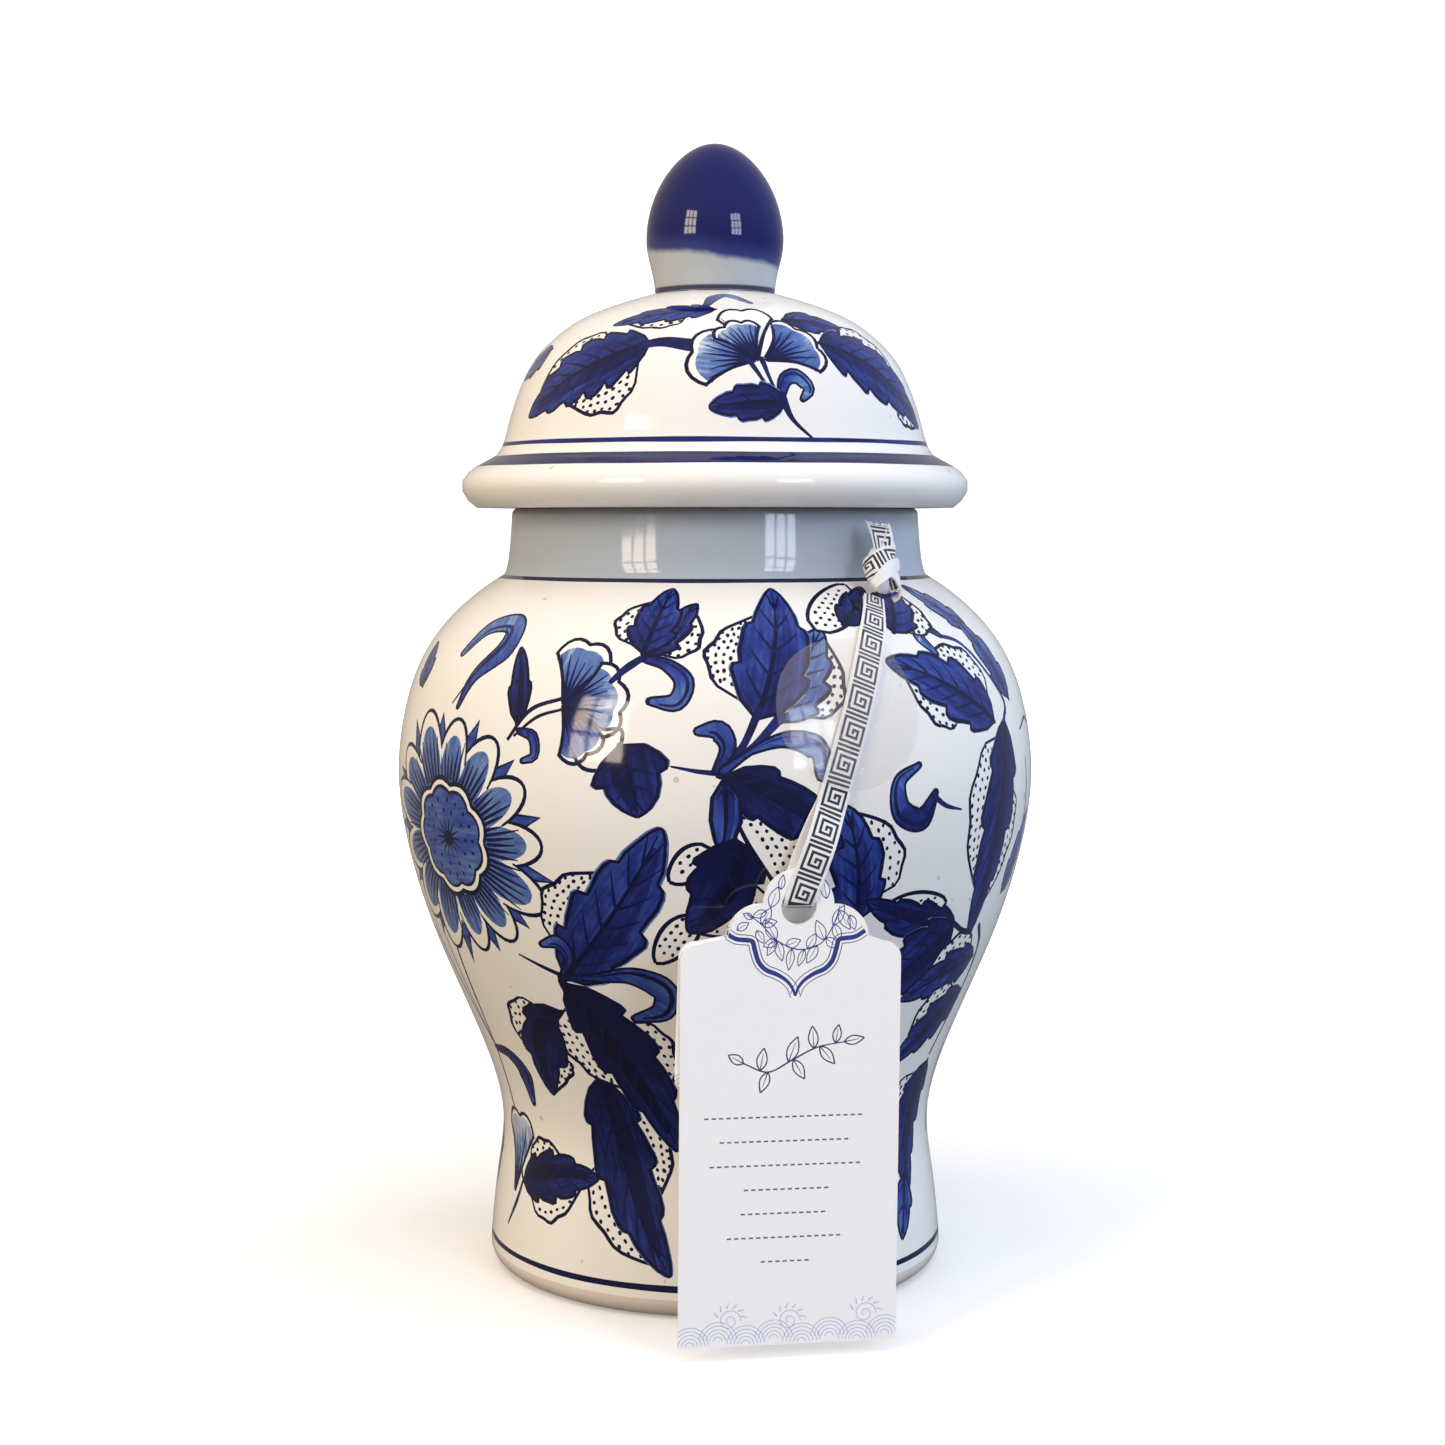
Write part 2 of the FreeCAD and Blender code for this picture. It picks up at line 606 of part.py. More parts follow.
doc.recompute()
for item in doc.Objects:
    if "Invalid" in item.State or "Error" in item.State:
        raise RuntimeError(f"{item.Label} failed: {item.State}")
os.makedirs("parts", exist_ok=True)
for subpart in SUBPARTS:
    shape = subpart.Shape
    if shape.isNull() or not shape.isValid():
        raise RuntimeError(f"{subpart.Label} has no valid shape")
    shape.exportStep(f"parts/{subpart.Label}.step")
    print(f"{subpart.Label}: {shape.Volume:.1f} mm3, {len(shape.Solids)} solid, {len(shape.Faces)} faces")
bend = on_wall(STRAND_ROUTE[0][1], BEND_HEIGHT, (FRONT_LIFT + BACK_LIFT) / 2)[0]
print(f"bend of the ribbon at {bend}, hole of the cards at {HOLE}, across {ACROSS}, forward {FORWARD}")
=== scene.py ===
"""Looks of the ginger jar. Lengths are in millimetres until a mesh is made, and azimuths are
degrees around the jar from its front, growing towards +X. The frame is in metres."""
import math
import random

import bpy
import numpy as np
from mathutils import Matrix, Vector, geometry


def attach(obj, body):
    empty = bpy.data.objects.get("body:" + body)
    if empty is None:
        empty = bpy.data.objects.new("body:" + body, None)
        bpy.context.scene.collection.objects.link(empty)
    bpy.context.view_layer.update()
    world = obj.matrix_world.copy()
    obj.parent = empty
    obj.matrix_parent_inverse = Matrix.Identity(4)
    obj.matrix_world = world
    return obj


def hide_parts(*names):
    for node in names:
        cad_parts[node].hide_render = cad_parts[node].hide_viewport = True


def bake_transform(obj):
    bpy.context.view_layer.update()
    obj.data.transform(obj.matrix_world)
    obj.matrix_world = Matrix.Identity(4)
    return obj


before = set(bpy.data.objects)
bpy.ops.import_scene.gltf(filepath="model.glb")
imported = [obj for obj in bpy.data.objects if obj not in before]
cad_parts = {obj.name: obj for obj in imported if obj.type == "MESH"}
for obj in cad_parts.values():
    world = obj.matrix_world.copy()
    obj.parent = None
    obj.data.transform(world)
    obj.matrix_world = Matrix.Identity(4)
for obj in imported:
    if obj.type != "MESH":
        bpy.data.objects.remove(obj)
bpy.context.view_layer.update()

MM = 0.001
UP = np.array([0.0, 0.0, 1.0])
rng = random.Random(11)

# ---------------------------------------------------------------- camera and light

camera_data = bpy.data.cameras.new("camera")
camera_data.lens = 59.8
camera_data.clip_start = 0.01
camera = bpy.data.objects.new("camera", camera_data)
camera.location = (0.0017, -0.5489, 0.1699)
camera.rotation_euler = (math.pi / 2 - 0.0845, 0, 0)
bpy.context.scene.collection.objects.link(camera)
bpy.context.scene.camera = camera
bpy.context.scene.view_settings.view_transform = "Standard"


def area_light(name, place, target, size, radiance, colour, mirrored=False):
    """A soft rectangular light of an even brightness, that faces a target."""
    light = bpy.data.lights.new(name, "AREA")
    light.shape = "RECTANGLE"
    light.size, light.size_y = size
    light.energy = radiance * math.pi * size[0] * size[1]
    light.color = colour
    lamp = bpy.data.objects.new(name, light)
    lamp.location = place
    lamp.rotation_euler = (Vector(target) - Vector(place)).to_track_quat("-Z", "Y").to_euler()
    lamp.visible_glossy = mirrored
    bpy.context.scene.collection.objects.link(lamp)
    return lamp


def window(name, azimuth, distance, height, columns, rows, pane, gap, radiance, colour):
    """A window of panes that faces the jar."""
    turn = math.radians(azimuth)
    out = Vector((math.sin(turn), -math.cos(turn), 0))
    side = Vector((math.cos(turn), math.sin(turn), 0))
    for column in range(columns):
        for row in range(rows):
            across = (column - (columns - 1) / 2) * (pane[0] + gap)
            up = (row - (rows - 1) / 2) * (pane[1] + gap)
            place = out * distance + side * across + Vector((0, 0, height + up))
            area_light(f"{name}_{column}_{row}", place, place - out, pane, radiance, colour, True)


WARM = (1.0, 0.84, 0.64)
COOL = (0.74, 0.84, 1.0)
window("window_left", -42, 2.2, 0.95, 3, 3, (0.22, 0.30), 0.05, 13.0, WARM)
window("window_right", 36, 2.4, 0.9, 3, 3, (0.20, 0.30), 0.05, 12.0, COOL)
area_light("ceiling", (0, -0.5, 2.4), (0, 0, 0.1), (2.4, 2.0), 1.5, (1, 1, 1))
area_light("wall_left", (-2.2, -0.7, 1.2), (0, 0, 0.12), (1.4, 1.6), 2.3, WARM)
area_light("wall_right", (2.0, 0.5, 0.8), (0, 0, 0.12), (1.0, 1.0), 5.6, COOL)
area_light("fill_right", (2.2, -0.9, 1.0), (0, 0, 0.12), (1.2, 1.4), 1.4, COOL)

# the room round the jar: dim and warm below and to the left, cool to the right
world = bpy.data.worlds.new("world")
world.use_nodes = True
sky = world.node_tree
direction = sky.nodes.new("ShaderNodeSeparateXYZ")
sky.links.new(sky.nodes.new("ShaderNodeTexCoord").outputs["Generated"], direction.inputs[0])
sky_tint = sky.nodes.new("ShaderNodeMix")
sky_tint.data_type = "RGBA"
sky_tint.inputs["A"].default_value = (1.0, 0.82, 0.62, 1)
sky_tint.inputs["B"].default_value = (0.76, 0.84, 1.0, 1)
for socket, axis, (low, high, from_value, to_value) in (("Factor", 0, (-0.8, 0.8, 0.0, 1.0)),
                                                        ("Strength", 2, (-0.5, 0.5, 0.17, 0.60))):
    reach = sky.nodes.new("ShaderNodeMapRange")
    for place, value in zip(reach.inputs[1:5], (low, high, from_value, to_value)):
        place.default_value = value
    sky.links.new(direction.outputs[axis], reach.inputs[0])
    target = sky_tint.inputs["Factor"] if socket == "Factor" else sky.nodes["Background"].inputs["Strength"]
    sky.links.new(reach.outputs[0], target)
sky.links.new(sky_tint.outputs["Result"], sky.nodes["Background"].inputs["Color"])
bpy.context.scene.world = world

# ---------------------------------------------------------------- lines


def b_spline(poles, samples=600, degree=3):
    """A clamped uniform B-spline, as the turned sections have."""
    poles = np.asarray(poles, float)
    spans = len(poles) - degree
    knots = np.r_[np.zeros(degree), np.arange(spans + 1), np.full(degree, spans)]
    t = np.linspace(0, spans, samples)
    t[-1] = spans - 1e-9
    basis = [((knots[i] <= t) & (t < knots[i + 1])).astype(float) for i in range(len(knots) - 1)]
    for d in range(1, degree + 1):
        raised = []
        for i in range(len(knots) - 1 - d):
            before, after = knots[i + d] - knots[i], knots[i + d + 1] - knots[i + 1]
            left = (t - knots[i]) / before * basis[i] if before > 0 else 0 * t
            right = (knots[i + d + 1] - t) / after * basis[i + 1] if after > 0 else 0 * t
            raised.append(left + right)
        basis = raised
    return np.array(basis).T @ poles


def through(points, spacing=1.0):
    """A smooth line through points (Catmull-Rom)."""
    points = np.asarray(points, float)
    ends = np.r_[[2 * points[0] - points[1]], points, [2 * points[-1] - points[-2]]]
    line = []
    for i in range(1, len(ends) - 2):
        a, b, c, d = ends[i - 1 : i + 3]
        steps = max(2, int(np.linalg.norm(c - b) / spacing))
        for step in range(steps):
            t = step / steps
            line.append(0.5 * (2 * b + (c - a) * t + (2 * a - 5 * b + 4 * c - d) * t**2
                               + (3 * b - a - 3 * c + d) * t**3))
    line.append(points[-1])
    return np.array(line)


def arc(centre, radius, start, end, steps=10):
    """Points on a circle between two angles in degrees."""
    turns = np.radians(np.linspace(start, end, steps + 1))
    return np.c_[centre[0] + radius * np.cos(turns), centre[1] + radius * np.sin(turns)]


def lengths(line):
    return np.r_[0, np.cumsum(np.linalg.norm(np.diff(line, axis=0), axis=1))]


def normals_2d(line):
    """Left-hand normals of a flat line."""
    way = np.gradient(line, axis=0)
    way = way / np.maximum(np.linalg.norm(way, axis=1), 1e-9)[:, None]
    return np.c_[-way[:, 1], way[:, 0]]


# ---------------------------------------------------------------- painting


class Painting:
    """Flat shapes laid over each other on a plane, which are then cut into a mesh.

    Each shape has a tone at its start and its end: 0 is bare glaze and 1 is the darkest cobalt.
    """

    def __init__(self):
        self.shapes = []
        self.facts = []

    def fill(self, points, tone, far=None, start=None, end=None, turn=0.0):
        points = np.asarray(points, float)
        start = points[0] if start is None else start
        end = points[-1] if end is None else end
        flat, ends = self.plane(points), self.plane(np.array([start, end], float))
        offset = rng.random() * 40
        for shift in self.copies(flat):
            self.shapes.append(flat + (shift, 0))
            (ax, ay), (bx, by) = ends + (shift, 0)
            self.facts.append((tone, tone if far is None else far, ax, ay, bx, by, turn, offset))

    def plane(self, points):
        return points

    def copies(self, flat):
        """How far sideways a shape is laid, once for each place it shows."""
        return [0.0]

    def stroke(self, line, widths, tone=0.97, far=None, cap=True):
        """A brush stroke along a line, as one shape or, where it curls, as a few."""
        line = np.asarray(line, float)
        widths = np.interp(np.linspace(0, 1, len(line)), np.linspace(0, 1, len(widths)), widths)
        side = normals_2d(line) * widths[:, None] / 2
        left, right = line + side, line - side
        way = np.diff(line, axis=0)
        turns = np.abs(np.diff(np.unwrap(np.arctan2(way[:, 1], way[:, 0]))))
        turn = math.atan2(line[-1, 1] - line[0, 1], line[-1, 0] - line[0, 0])
        first, bent = 0, 0.0
        for i in range(1, len(line)):
            bent += turns[i - 1] if i - 1 < len(turns) else 0.0
            if bent > 2.2 or i == len(line) - 1:
                cells = np.r_[left[first : i + 1], right[first : i + 1][::-1]]
                self.fill(cells, tone, far, line[0], line[-1], turn)
                first, bent = i, 0.0
        if cap:
            for end in (0, -1):
                if widths[end] > 0.9:
                    own = tone if end == 0 or far is None else far
                    self.dot(line[end], widths[end] / 2, widths[end] / 2, own)

    def dot(self, centre, wide, high, tone=0.95, turn=0.0, sides=8):
        angles = np.arange(sides) * 2 * math.pi / sides
        x, y = wide * np.cos(angles), high * np.sin(angles)
        c, s = math.cos(turn), math.sin(turn)
        self.fill(np.c_[centre[0] + x * c - y * s, centre[1] + x * s + y * c], tone)


class WallPainting(Painting):
    """A painting on a turned wall. Motifs are placed by azimuth and height."""

    def __init__(self, line, reference, seam):
        super().__init__()
        self.line, self.arc = line, lengths(line)
        self.reference, self.seam = reference, seam
        self.length = self.arc[-1]
        self.half = math.pi * reference
        self.shift = 0.0
        self.centre, self.radius = (0.0, 0.0), reference

    def along(self, height):
        return np.interp(height, self.line[:, 1], self.arc)

    def place(self, *spots):
        """Starts a motif: its spots, as azimuth and height, become points of a flat patch in millimetres."""
        spots = np.array(spots, float)
        middle = spots.mean(axis=0)
        self.radius = float(np.interp(middle[1], self.line[:, 1], self.line[:, 0]))
        self.centre = (math.radians(middle[0] + self.shift), float(self.along(middle[1])))
        x = (np.radians(spots[:, 0] + self.shift) - self.centre[0]) * self.radius
        return np.c_[x, self.along(spots[:, 1]) - self.centre[1]]

    def plane(self, points):
        x = (self.centre[0] + points[:, 0] / self.radius) * self.reference
        x = x - (math.radians(self.seam) + math.pi) * self.reference
        return np.c_[x, np.clip(self.centre[1] + points[:, 1], 0.4, self.length - 0.4)]

    def copies(self, flat):
        """A shape beyond the seam comes back on the other side."""
        turn = 2 * self.half
        base = -turn * round(float(flat[:, 0].mean()) / turn)
        low, high = flat[:, 0].min() + base, flat[:, 0].max() + base
        return [base] + [base + turn] * int(low < -self.half) + [base - turn] * int(high > self.half)

    def band(self, low, high, tone, wobble=0.12, phase=0.0):
        """A painted ring between two places on the line."""
        turns = np.linspace(0, 2 * math.pi, 241)
        x = turns * self.reference - self.half
        ripple = np.sin(3 * turns + phase) + 0.6 * np.sin(11 * turns + 2 * phase)
        lower = low + wobble * ripple * (low > 0)
        ripple = np.sin(4 * turns + 2 + phase) + 0.5 * np.sin(9 * turns)
        upper = high + wobble * ripple * (high < self.length)
        lower[-1], upper[-1] = lower[0], upper[0]
        self.shapes.append(np.r_[np.c_[x, lower], np.c_[x, upper][::-1]])
        self.facts.append((tone, tone, 0, low, 1, low, 0.0, 3.0))

    # ------------------------------------------------ motifs

    def stem(self, spots, widths, tone=0.95, far=None):
        self.stroke(through(self.place(*spots)), widths, tone, far)

    def leaf(self, base, tip, width, bow=0.0, teeth=4, tone=0.62, lobes=(), veins=5, line=0.8, halo=0.0):
        """A leaf with a saw edge. Each lobe is a white margin with dots: its side (1 left, -1 right of the
        way to the tip), where it starts and ends along the leaf, its reach, and its rows of dots."""
        start, end = self.place(base, tip)
        way = end - start
        size = np.linalg.norm(way)
        way = way / size
        normal = np.array([-way[1], way[0]])
        turn = math.atan2(way[1], way[0])

        def rib(t):
            t = np.asarray(t, float)[..., None]
            return start + way * size * t + normal * bow * size * 4 * t * (1 - t)

        def across(t):
            t = np.asarray(t, float)[..., None]
            slope = bow * 4 * (1 - 2 * t)
            out = normal - way * slope
            return out / np.linalg.norm(out, axis=-1, keepdims=True)

        def breadth(t):
            t = np.asarray(t, float)
            return width / 2 * np.maximum(np.sin(math.pi * t**0.72), 0) ** 0.75

        stations, factors = [0.0], [0.3]
        for tooth in range(teeth):
            for u, factor in ((0.25, 0.94), (0.55, 1.04), (0.8, 1.12), (0.93, 1.08), (1.0, 0.84)):
                stations.append((tooth + u) / teeth)
                factors.append(factor + rng.uniform(-0.04, 0.04))
        stations, factors = np.array(stations), np.array(factors)

        def edge(side, grow=0.0):
            reach = breadth(stations) * factors + grow
            return rib(stations) + across(stations) * (reach * side)[:, None]

        for side, t0, t1, reach, rows in lobes:
            t = np.linspace(t0, t1, 15)
            u = (t - t0) / (t1 - t0)
            crinkle = 1 + 0.08 * np.sin(u * 19)
            swell = reach * np.sin(math.pi * np.minimum(u * 1.04, 1) ** 0.8) ** 0.55 * crinkle
            inner = breadth(t) * 0.8
            outer = rib(t) + across(t) * ((inner + swell + breadth(t) * 0.12) * side)[:, None]
            self.fill(np.r_[outer, rib(t)[::-1]], 0.0)
            self.stroke(outer, (line * 0.7, line * 1.15, line * 0.9), 0.96)
            count = max(2, int((t1 - t0) * size / 1.9))
            for row in range(rows):
                share = (row + 0.75) / (rows + 0.45)
                for n in range(count):
                    u_dot = (n + 0.5 + 0.3 * (row % 2)) / count
                    if not 0.08 < u_dot < 0.92:
                        continue
                    at = t0 + (t1 - t0) * u_dot
                    room = float(np.interp(at, t, swell))
                    if room * (1 - share) < 0.75 or room < 1.6:
                        continue
                    offset = float(breadth(at)) * 0.98 + room * share + rng.uniform(-0.15, 0.15)
                    spot = rib(at) + across(at) * offset * side
                    self.dot(spot, rng.uniform(0.42, 0.6), rng.uniform(0.34, 0.46), 0.93,
                             turn + rng.uniform(-0.4, 0.4))
        left, right = edge(1), edge(-1)
        if halo:
            self.fill(np.r_[edge(1, halo), edge(-1, halo)[::-1]], tone * 0.4, tone * 0.55, start, end,
                      turn)
        self.fill(np.r_[left, right[::-1]], tone + 0.1, tone - 0.08, start, end, turn)
        inner_t = np.linspace(0.03, 0.9, 12)
        reach = (breadth(inner_t) * rng.uniform(0.45, 0.6))[:, None]
        shade = rib(inner_t) + across(inner_t) * reach * rng.choice((-1, 1))
        self.fill(np.r_[rib(inner_t), shade[::-1]], tone + 0.18, tone + 0.06, start, end, turn)
        for outline in (left, right):
            self.stroke(outline, (line * 0.8, line * 1.2, line, line * 0.7), 0.97)
        t = np.linspace(0, 0.96, 14)
        self.stroke(rib(t), (line * 1.5, line * 1.1, line * 0.4), 0.97)
        for vein in range(veins):
            at = 0.12 + 0.68 * vein / max(veins - 1, 1)
            for side in (1, -1):
                u = np.linspace(0, 1, 6)
                reach = breadth(at + 0.1) * 0.72
                vein_line = rib(at + 0.16 * u**1.2) + across(at + 0.16 * u) * (reach * u * side)[:, None]
                self.stroke(vein_line, (line, line * 0.7, line * 0.25), 0.9, cap=False)

    def dotted(self, base, tip, width, bow=0.0, line=0.8, rows=3):
        """A white leaf full of dots."""
        start, end = self.place(base, tip)
        size = np.linalg.norm(end - start)
        way = (end - start) / size
        normal = np.array([-way[1], way[0]])
        t = np.linspace(0, 1, 15)
        ribs = start + np.outer(t * size, way) + np.outer(bow * size * 4 * t * (1 - t), normal)
        breadth = width / 2 * np.sin(math.pi * t**0.8) ** 0.6
        left, right = ribs + normal * breadth[:, None], ribs - normal * breadth[:, None]
        self.fill(np.r_[left, right[::-1]], 0.0)
        self.stroke(left, (line, line * 1.2, line), 0.97)
        self.stroke(right, (line, line * 1.2, line), 0.97)
        count = int(size / 1.9)
        for row in range(rows):
            for n in range(1, count - 1):
                at = (n + 0.4 * (row % 2)) / count
                room = float(np.interp(at, t, breadth)) - 0.9
                offset = (row - (rows - 1) / 2) * 1.65
                if abs(offset) < room:
                    middle = start + way * size * at + normal * (bow * size * 4 * at * (1 - at) + offset)
                    turn = math.atan2(way[1], way[0]) + rng.uniform(-0.4, 0.4)
                    self.dot(middle, rng.uniform(0.42, 0.58), rng.uniform(0.34, 0.45), 0.93, turn)

    def curl(self, spots, widths, tone=0.5, line=0.7):
        """A scroll: a wash inside a dark line."""
        path = through(self.place(*spots), 0.8)
        steps = np.linspace(0, 1, len(path))
        wide = np.interp(steps, np.linspace(0, 1, len(widths)), widths)
        self.stroke(path, wide + line * 1.5, 0.96)
        self.stroke(path, np.maximum(wide - 0.1, 0.15), tone + 0.2, tone - 0.12)
        side = normals_2d(path)
        inner = path + side * (wide * 0.22)[:, None]
        self.stroke(inner[2:-2], np.maximum(wide[2:-2] * 0.22, 0.12), tone + 0.3, cap=False)

    def petal(self, base, tip, spread, tone=0.42, strokes=7, margin=2.2, scallops=3, line=0.75):
        """A fan of a petal: a wash from its base, dark strokes and a white scalloped edge."""
        start, end = self.place(base, tip)
        size = np.linalg.norm(end - start)
        aim = math.atan2(end[1] - start[1], end[0] - start[0])
        half = math.radians(spread) / 2

        def fan(scale, lift):
            side_t = np.linspace(0.06, 0.92, 6)
            angles = [half * (0.45 + 0.55 * t) for t in side_t]
            radii = [size * scale * t * 0.86 for t in side_t]
            theta = np.linspace(half, -half, 6 * scallops + 1)
            wave = np.abs(np.sin(math.pi * scallops * (theta / half + 1) / 2))
            dome = 1 - 0.14 * (theta / half) ** 2
            turn = np.r_[angles, theta, [-a for a in angles[::-1]]]
            reach = np.r_[radii, size * scale * dome * (1 - lift + lift * wave), radii[::-1]]
            return np.c_[start[0] + reach * np.cos(aim + turn), start[1] + reach * np.sin(aim + turn)]

        whole = fan(1.0, 0.09)
        self.fill(whole, 0.0)
        self.fill(fan(1 - margin / size, 0.05), tone + 0.16, tone - 0.22, start, end, aim)
        for n in range(strokes):
            theta = half * 0.82 * (2 * n / max(strokes - 1, 1) - 1)
            reach = size * rng.uniform(0.62, 0.84)
            t = np.linspace(0.1, 1, 6)
            bent = aim + theta * (0.75 + 0.25 * t)
            self.stroke(np.c_[start[0] + reach * t * np.cos(bent), start[1] + reach * t * np.sin(bent)],
                        (0.75, 0.65, 0.2), 0.9, cap=False)
        self.stroke(np.r_[whole, whole[:1]], (line, line * 1.2, line), 0.96)

    def flower(self, centre, radius, petals=13, disc=12.6, stretch=1.06):
        """An open flower: petals around a scalloped disc of seeds."""
        middle = self.place(centre)[0]

        def ring(reach, turns):
            return np.c_[middle[0] + stretch * reach * np.cos(turns), middle[1] + reach * np.sin(turns)]

        turn_step = 2 * math.pi / petals
        reaches = [radius * rng.uniform(0.93, 1.06) for _ in range(petals)]
        for n in range(petals):
            aim = (n + 0.5) * turn_step
            tip = ring(np.array([reaches[n] * 1.03]), np.array([aim]))[0]
            turns = np.array([aim - 0.12, aim, aim + 0.12])
            sepal = ring(np.array([radius * 0.72, reaches[n] * 1.03, radius * 0.72]), turns)
            self.fill(np.r_[sepal[:1], [tip], sepal[2:]], 0.55)
            self.stroke(np.r_[sepal[:1], [tip], sepal[2:]], (0.7, 0.9, 0.7), 0.95)
        for n in range(petals):
            aim = n * turn_step + rng.uniform(-0.04, 0.04)
            theta = np.linspace(-0.56, 0.56, 15)
            bulge = 1 - 1.05 * theta**2
            outer = ring(reaches[n] * bulge, aim + theta * turn_step)
            inner = ring(np.full(5, disc * 0.9), aim + np.linspace(0.5, -0.5, 5) * turn_step)
            self.fill(np.r_[outer, inner], 0.0)
            wash = ring(np.minimum(reaches[n] * bulge - 3.6, reaches[n] * 0.87),
                        aim + theta * turn_step * 0.96)
            tip = ring(np.array([reaches[n]]), np.array([aim]))[0]
            self.fill(np.r_[wash, inner], 0.46, 0.34, middle, tip, aim)
            self.stroke(outer, (0.5, 1.0, 0.8, 1.0, 0.5), 0.95)
            for k in range(6):
                at = aim + (k - 2.5) / 6.2 * turn_step
                t = np.linspace(0, 1, 5)
                far = reaches[n] * rng.uniform(0.68, 0.84)
                self.stroke(ring(disc + (far - disc) * t, at + 0.03 * t), (0.85, 0.7, 0.25), 0.9,
                            cap=False)
        turns = np.linspace(0, 2 * math.pi, 73)
        wave = np.abs(np.sin(turns * 4.5))
        self.fill(ring(disc * (0.93 + 0.1 * wave), turns)[:-1], 0.0)
        self.stroke(ring(disc * (0.93 + 0.1 * wave), turns), (0.9, 1.1, 0.8, 1.1, 0.9), 0.96)
        self.fill(ring(disc * (0.78 + 0.09 * wave), turns)[:-1], 0.5, 0.42)
        self.stroke(ring(disc * (0.79 + 0.09 * wave), turns), (0.6, 0.9, 0.6, 0.8), 0.93)
        for reach, count in ((0.66, 17), (0.47, 11)):
            for n in range(count):
                at = 2 * math.pi * (n + rng.uniform(-0.15, 0.15)) / count
                self.dot(ring(np.array([disc * reach]), np.array([at]))[0], 0.62, 0.36, 0.93, at)
        for n in range(14):
            at = 2 * math.pi * n / 14
            t = np.linspace(0.05, 0.34, 4)
            self.stroke(ring(disc * t, np.full(4, at)), (0.8, 0.5, 0.2), 0.94, cap=False)
        self.dot(middle, 1.3, 1.2, 0.97)


